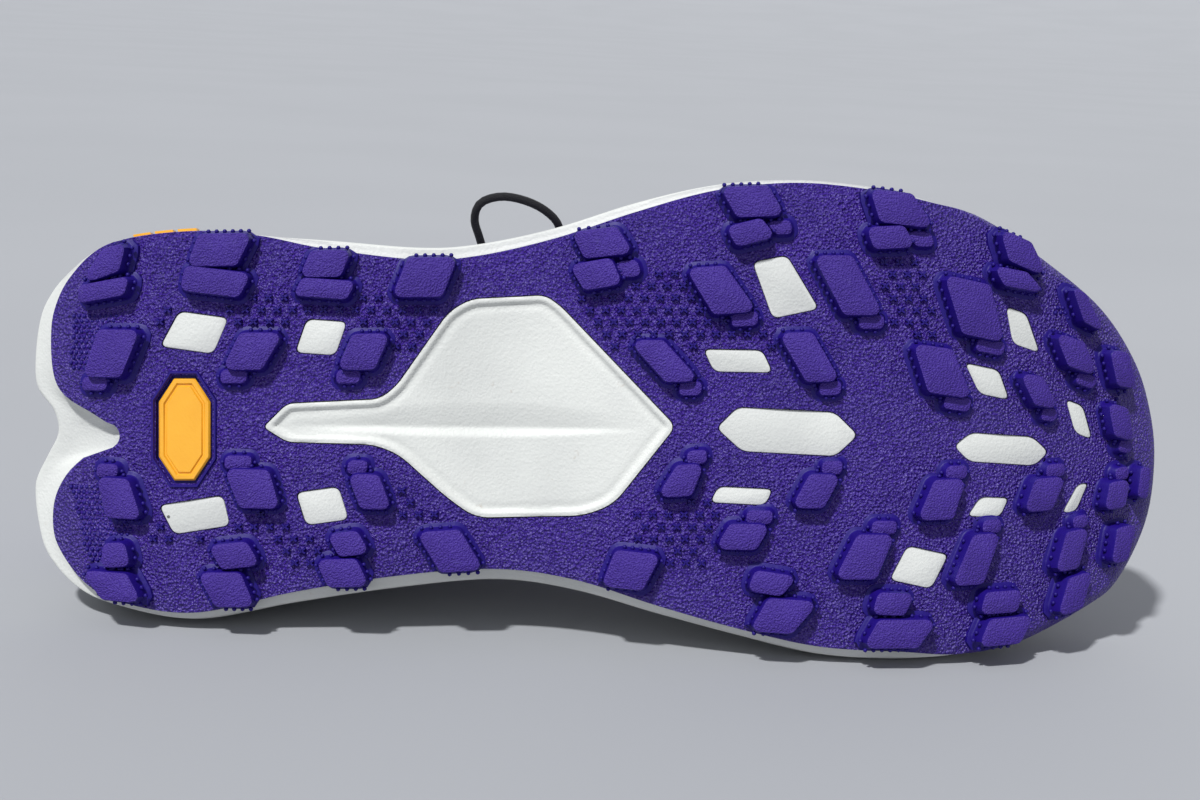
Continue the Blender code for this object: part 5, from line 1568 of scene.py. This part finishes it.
def tongue_place(column, row, columns, rows):
    """A place on the tongue: its padded top, its edge and its lining."""
    around = column / columns * 2
    face_up = around < 1
    across = 2 * (around if face_up else 2 - around) - 1
    top_at = TONGUE_FROM - TONGUE_LIP
    at = TONGUE_TO + (top_at - TONGUE_TO) * row / (rows - 1)
    full = min(1.0, (TONGUE_TO + .001 - at) / .08) ** .5
    top = 1 - max(0.0, 1 - (at - top_at) / .055) ** 2.4 * .58
    half = TONGUE_WIDTH / 2 * (.55 + .45 * full) * top
    spoke = spoke_at(at * LENGTH, -1 if across < 0 else 1)
    share = math.sin(abs(across) * math.pi / 2)
    ends = min(1.0, (at - top_at + .0001) / .012) ** .5
    thick = TONGUE_THICK * math.sqrt(max(0.0, 1 - share ** 6)) * (.35 + .65 * ends)
    quilt = QUILT_DEPTH * abs(math.sin(math.pi * (at - TONGUE_FROM) * LENGTH / QUILT_PITCH)) ** .5 if at < .42 else 0
    tuck = WALL + LAYER_GAP + GAP
    angle = angle_at_half(spoke, half * share)
    out = -tuck - TONGUE_THICK / 2 + (thick / 2 + quilt * (thick / TONGUE_THICK) if face_up else -thick / 2)
    return upper_point(spoke, angle, out)


class SHOE_OT_upper(bpy.types.Operator):
    """Builds the knitted upper with its lining and collar, and the padded tongue"""

    bl_idname = "shoe.upper"
    bl_label = "Build Upper"

    def execute(self, context):
        made = piece("knit_upper", build_upper(), ["knit_lilac", "brushed_lining", "collar_binding"])
        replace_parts(made, "upper")
        bm = mapped_grid(48, 64, lambda column, row: tongue_place(column, row, 48, 64), closed=True)
        bmesh.ops.holes_fill(bm, edges=[edge for edge in bm.edges if edge.is_boundary], sides=0)
        plain(bm)
        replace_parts(piece("padded_tongue", bm, ["knit_tongue"]), "tongue")
        return {"FINISHED"}


class SHOE_OT_overlays(bpy.types.Operator):
    """Builds the welded films, their stitches and the rings of the eyelets"""

    bl_idname = "shoe.overlays"
    bl_label = "Build Overlays"

    def execute(self, context):
        toe = [spoke for spoke in SPOKES if along(spoke, spoke.edge) / LENGTH > .762]
        heel = [spoke for spoke in SPOKES[-60:] + SPOKES[:200] if along(spoke, spoke.edge) / LENGTH < .285]
        stay = bmesh.new()
        for side in (-1, 1):
            join(stay, film(stay_spokes(side), stay_low, rim_angle))
        for name, bm, node in (
            ("toe_film", film(toe, cup_angle, cap_top), "toe_cap"),
            ("heel_film", film(heel, cup_angle, counter_top), "heel_counter"),
            ("eyestay_film", stay, "eyestay"),
        ):
            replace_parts(piece(name, bm, ["welded_film"]), node)
        rings, threads, pitch = bmesh.new(), bmesh.new(), context.scene.shoe_settings.stitch_length
        for pair in eyelet_spots():
            for spoke, angle in pair:
                here = upper_point(spoke, angle, .0010)
                out = (upper_point(spoke, angle, .004) - here).normalized()
                turn = Matrix.Translation(here) @ turned_to(out)
                ring = bmesh.new()
                bmesh.ops.create_circle(ring, segments=8, radius=RING_THICK, matrix=Matrix.Translation(
                    (RING_RADIUS, 0, 0)) @ Matrix.Rotation(math.pi / 2, 4, "X"))
                bmesh.ops.spin(ring, geom=ring.verts[:] + ring.edges[:], cent=(0, 0, 0), axis=(0, 0, 1),
                               angle=2 * math.pi, steps=20, use_merge=True, use_duplicate=False)
                bmesh.ops.create_circle(ring, cap_ends=True, segments=16, radius=.0022)
                bmesh.ops.transform(ring, matrix=turn, verts=ring.verts)
                join(rings, ring)
        piece("eyelet_rings", rings, ["eyelet_paint"])
        for side in (-1, 1):
            spokes = stay_spokes(side)[2:-8]
            for inside_by in STAY_SEAMS:
                line = [upper_point(s, stay_low(s) + inside_by, THREAD_LIFT) for s in spokes[::4]]
                stitch(threads, line, pitch)
            line = [upper_point(s, angle_below(s, rim_angle(s), THROAT_SEAM), THREAD_LIFT) for s in spokes[:-14:4]]
            stitch(threads, line, pitch)
        for spokes, top, step in ((heel, counter_top, 6), (toe, cap_top, 5)):
            line = [upper_point(s, angle_below(s, top(s), FILM_SEAM), THREAD_LIFT) for s in spokes[4:-4:step]]
            stitch(threads, line, pitch)
        collar = [s for s in SPOKES[-70:] + SPOKES[:205] if s.at < THROAT_TOP - .01][::5]
        line = [upper_point(s, angle_below(s, rim_angle(s), COLLAR_SEAM), .0001) for s in collar]
        stitch(threads, line, COLLAR_STITCH)
        piece("stitches", threads, ["pale_thread"])
        return {"FINISHED"}


def cord_curve(name, *lines):
    """A round cord along lines of points that are given in the shoe's frame."""
    curve = bpy.data.curves.new(name, "CURVE")
    curve.dimensions = "3D"
    curve.bevel_depth = LACE_RADIUS
    curve.bevel_resolution = 3
    curve.use_fill_caps = True
    for points in lines:
        spline = curve.splines.new("POLY")
        spline.points.add(len(points) - 1)
        for point, place in zip(spline.points, points):
            point.co = (*(POSE @ Vector(place)), 1)
    curve.materials.append(finish("braided_cord"))
    made = object_of(name, curve)
    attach(made, "root")
    return made


def crossing(start, end, lift):
    """A run of lace: up out of one eyelet, over the tongue and down into another."""
    places = []
    for share in (0, .08, .2, .35, .5, .65, .8, .92, 1):
        x = start[0].origin[0] * (1 - share) + end[0].origin[0] * share
        wide = [upper_point(spoke, angle, 0).y - spoke.origin[1] for spoke, angle in (start, end)]
        y = wide[0] * (1 - share) + wide[1] * share
        spoke = spoke_at(x, -1 if y < 0 else 1)
        out = .0024 + (LACE_OUT - .0016) * math.sin(math.pi * share) ** .6 + lift * math.exp(-((share - .5) / .16) ** 2)
        places.append(upper_point(spoke, angle_at_half(spoke, abs(y)), out))
    down = [[upper_point(spoke, angle, out) for out in (-.0030, -.0006, .0012)] for spoke, angle in (start, end)]
    return down[0] + places[1:-1] + down[1][::-1]


def sleeve(points):
    """The plain plastic sleeve over a lace's end."""
    bm = bmesh.new()
    run = Vector(points[-1]) - Vector(points[-5])
    bmesh.ops.create_cone(bm, cap_ends=True, segments=20, radius1=LACE_RADIUS * 1.12, radius2=LACE_RADIUS * .95,
                          depth=AGLET_LENGTH, matrix=Matrix.Translation(
                              Vector(points[-1]) - run.normalized() * .0055) @ turned_to(run))
    rims = [e for e in bm.edges if len(e.link_faces) == 2 and max(len(f.verts) for f in e.link_faces) > 4]
    bmesh.ops.bevel(bm, geom=rims, affect="EDGES", offset=.0004, segments=2, profile=.5, material=-1)
    return bm


class SHOE_OT_laces(bpy.types.Operator):
    """Builds the laces: runs through the eyelets, knot, loops and ends"""

    bl_idname = "shoe.laces"
    bl_label = "Build Laces"

    def execute(self, context):
        pairs = eyelet_spots()
        runs = [crossing(pairs[-1][0], pairs[-1][1], 0)]
        for number, (upper, lower) in enumerate(zip(pairs, pairs[1:])):
            over_first = .0011 if number % 2 else -.0009
            runs.append(crossing(lower[0], upper[1], over_first))
            runs.append(crossing(lower[1], upper[0], -over_first))
        middle_of_knot = knot_middle()
        for spoke, angle in pairs[0]:
            side = -1 if spoke.direction[1] < 0 else 1
            start = [upper_point(spoke, angle, out) for out in (-.0030, -.0006, .0012, .0030)]
            runs.append(start + [(start[-1] + middle_of_knot) / 2 + Vector((0, .002 * side, .0015)),
                                 middle_of_knot + Vector((-.001, .004 * side, -.0015)), middle_of_knot])
        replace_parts(cord_curve("lace_runs", *[smooth_line(run, .0012) for run in runs]), "lace_crossings")
        turns = [middle_of_knot + Vector((.0026 * math.cos(turn) + .0004, .0072 * share, .0024 * math.sin(turn)))
                 for share, turn in zip(spread(-.5, .5, 45), spread(0, 6 * math.pi, 45))]
        core = [middle_of_knot + Vector((.0006, y, 0)) for y in (-.0062, -.003, 0, .003, .0062)]
        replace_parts(cord_curve("bow_knot", smooth_line(turns, .0010), smooth_line(core, .0015)), "lace_knot")
        for name, rows in (("lace_loop_lateral", LATERAL_LOOP), ("lace_loop_medial", MEDIAL_LOOP)):
            points = smooth_line([middle_of_knot + Vector(row) for row in rows], .0020)
            made = cord_curve("bow_" + name[5:], points)
            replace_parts(made, name)
        for name, rows in (("lace_end_lateral", LATERAL_END), ("lace_end_medial", MEDIAL_END)):
            points = smooth_line([over(*row) for row in rows], .0020)
            made = cord_curve("bow_" + name[5:], points)
            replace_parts(made, name)
            aglet = piece("aglet_" + name[9:], sleeve(points), ["aglet_plastic"])
        return {"FINISHED"}


def sun_light(name, towards, power, width):
    """A distant soft light that shines from one direction."""
    light = bpy.data.lights.new(name, "SUN")
    light.energy, light.angle = power, math.radians(width)
    made = object_of(name, light)
    made.rotation_euler = Vector(towards).to_track_quat("Z", "Y").to_euler()


FLOOR_RADIUS = 6
# The floor's rim: how much wider and higher each ring is than the one inside it
FLOOR_RIM = ((1.35, .06), (1.3, .25), (1.25, .6), (1.2, 1.0), (1.2, 1.4))
# Each light's name, direction, power and width in degrees
LIGHTS = (("key", (-.34, -.56, 1.0), 3.5, 4), ("fill", (-.2, -1.0, .12), .38, 50), ("back", (.2, .9, .7), .5, 60))
WORLD_COLOUR, WORLD_POWER = (.90, .93, 1), .40


class SHOE_OT_studio(bpy.types.Operator):
    """Builds the floor, the lights and the camera"""

    bl_idname = "shoe.studio"
    bl_label = "Build Studio"

    def execute(self, context):
        scene = context.scene
        bm = bmesh.new()
        bmesh.ops.create_circle(bm, cap_ends=True, segments=64, radius=FLOOR_RADIUS)
        rim = [edge for edge in bm.edges if edge.is_boundary]
        for grow, rise in FLOOR_RIM:
            verts, rim = extruded(bm, rim)
            bmesh.ops.scale(bm, vec=(grow, grow, 1), verts=verts)
            bmesh.ops.translate(bm, vec=(0, 0, rise), verts=verts)
        bmesh.ops.recalc_face_normals(bm, faces=bm.faces)
        mesh = mesh_of(bm, "floor")
        mesh.shade_smooth()
        mesh.materials.append(finish("studio_floor"))
        floor = object_of("floor", mesh)
        world = bpy.data.worlds.new("studio")
        world.use_nodes = True
        fill(world.node_tree, world.node_tree.nodes["Background"], {0: WORLD_COLOUR, 1: WORLD_POWER})
        scene.world = world
        for light in LIGHTS:
            sun_light(*light)
        camera = bpy.data.cameras.new("camera")
        camera.sensor_width = 36
        camera.lens = scene.shoe_settings.focal_length
        camera.clip_start = .01
        made = object_of("camera", camera)
        turn = POSE.to_3x3() @ Matrix(((1, 0, 0), (0, -1, 0), (0, 0, -1)))
        made.matrix_world = Matrix.Translation(POSE @ Vector(CAMERA_PLACE)) @ turn.to_4x4()
        scene.camera = made
        scene.view_settings.view_transform = "Standard"
        return {"FINISHED"}


class SHOE_PT_panel(bpy.types.Panel):
    """Lists the steps that build the shoe's looks"""

    bl_label = "Trail Running Shoe"
    bl_space_type = "VIEW_3D"
    bl_region_type = "UI"
    bl_category = "Shoe"

    def draw(self, context):
        for item in OPERATORS:
            self.layout.operator(item.bl_idname)
        for name in ShoeSettings.__annotations__:
            self.layout.prop(context.scene.shoe_settings, name)


OPERATORS = (SHOE_OT_sole_finish, SHOE_OT_lugs, SHOE_OT_tread_studs, SHOE_OT_badge, SHOE_OT_upper,
             SHOE_OT_overlays, SHOE_OT_laces, SHOE_OT_studio)
CLASSES = (ShoeSettings, *OPERATORS, SHOE_PT_panel)


def register():
    for item in CLASSES:
        bpy.utils.register_class(item)
    bpy.types.Scene.shoe_settings = bpy.props.PointerProperty(type=ShoeSettings)


def unregister():
    del bpy.types.Scene.shoe_settings
    for item in reversed(CLASSES):
        bpy.utils.unregister_class(item)


def main():
    register()
    bpy.ops.shoe.studio()
    bpy.ops.shoe.laces()
    bpy.ops.shoe.sole_finish()
    bpy.ops.shoe.lugs()
    bpy.ops.shoe.tread_studs()
    bpy.ops.shoe.badge()
    bpy.ops.shoe.upper()
    bpy.ops.shoe.overlays()


if __name__ == "__main__":
    main()
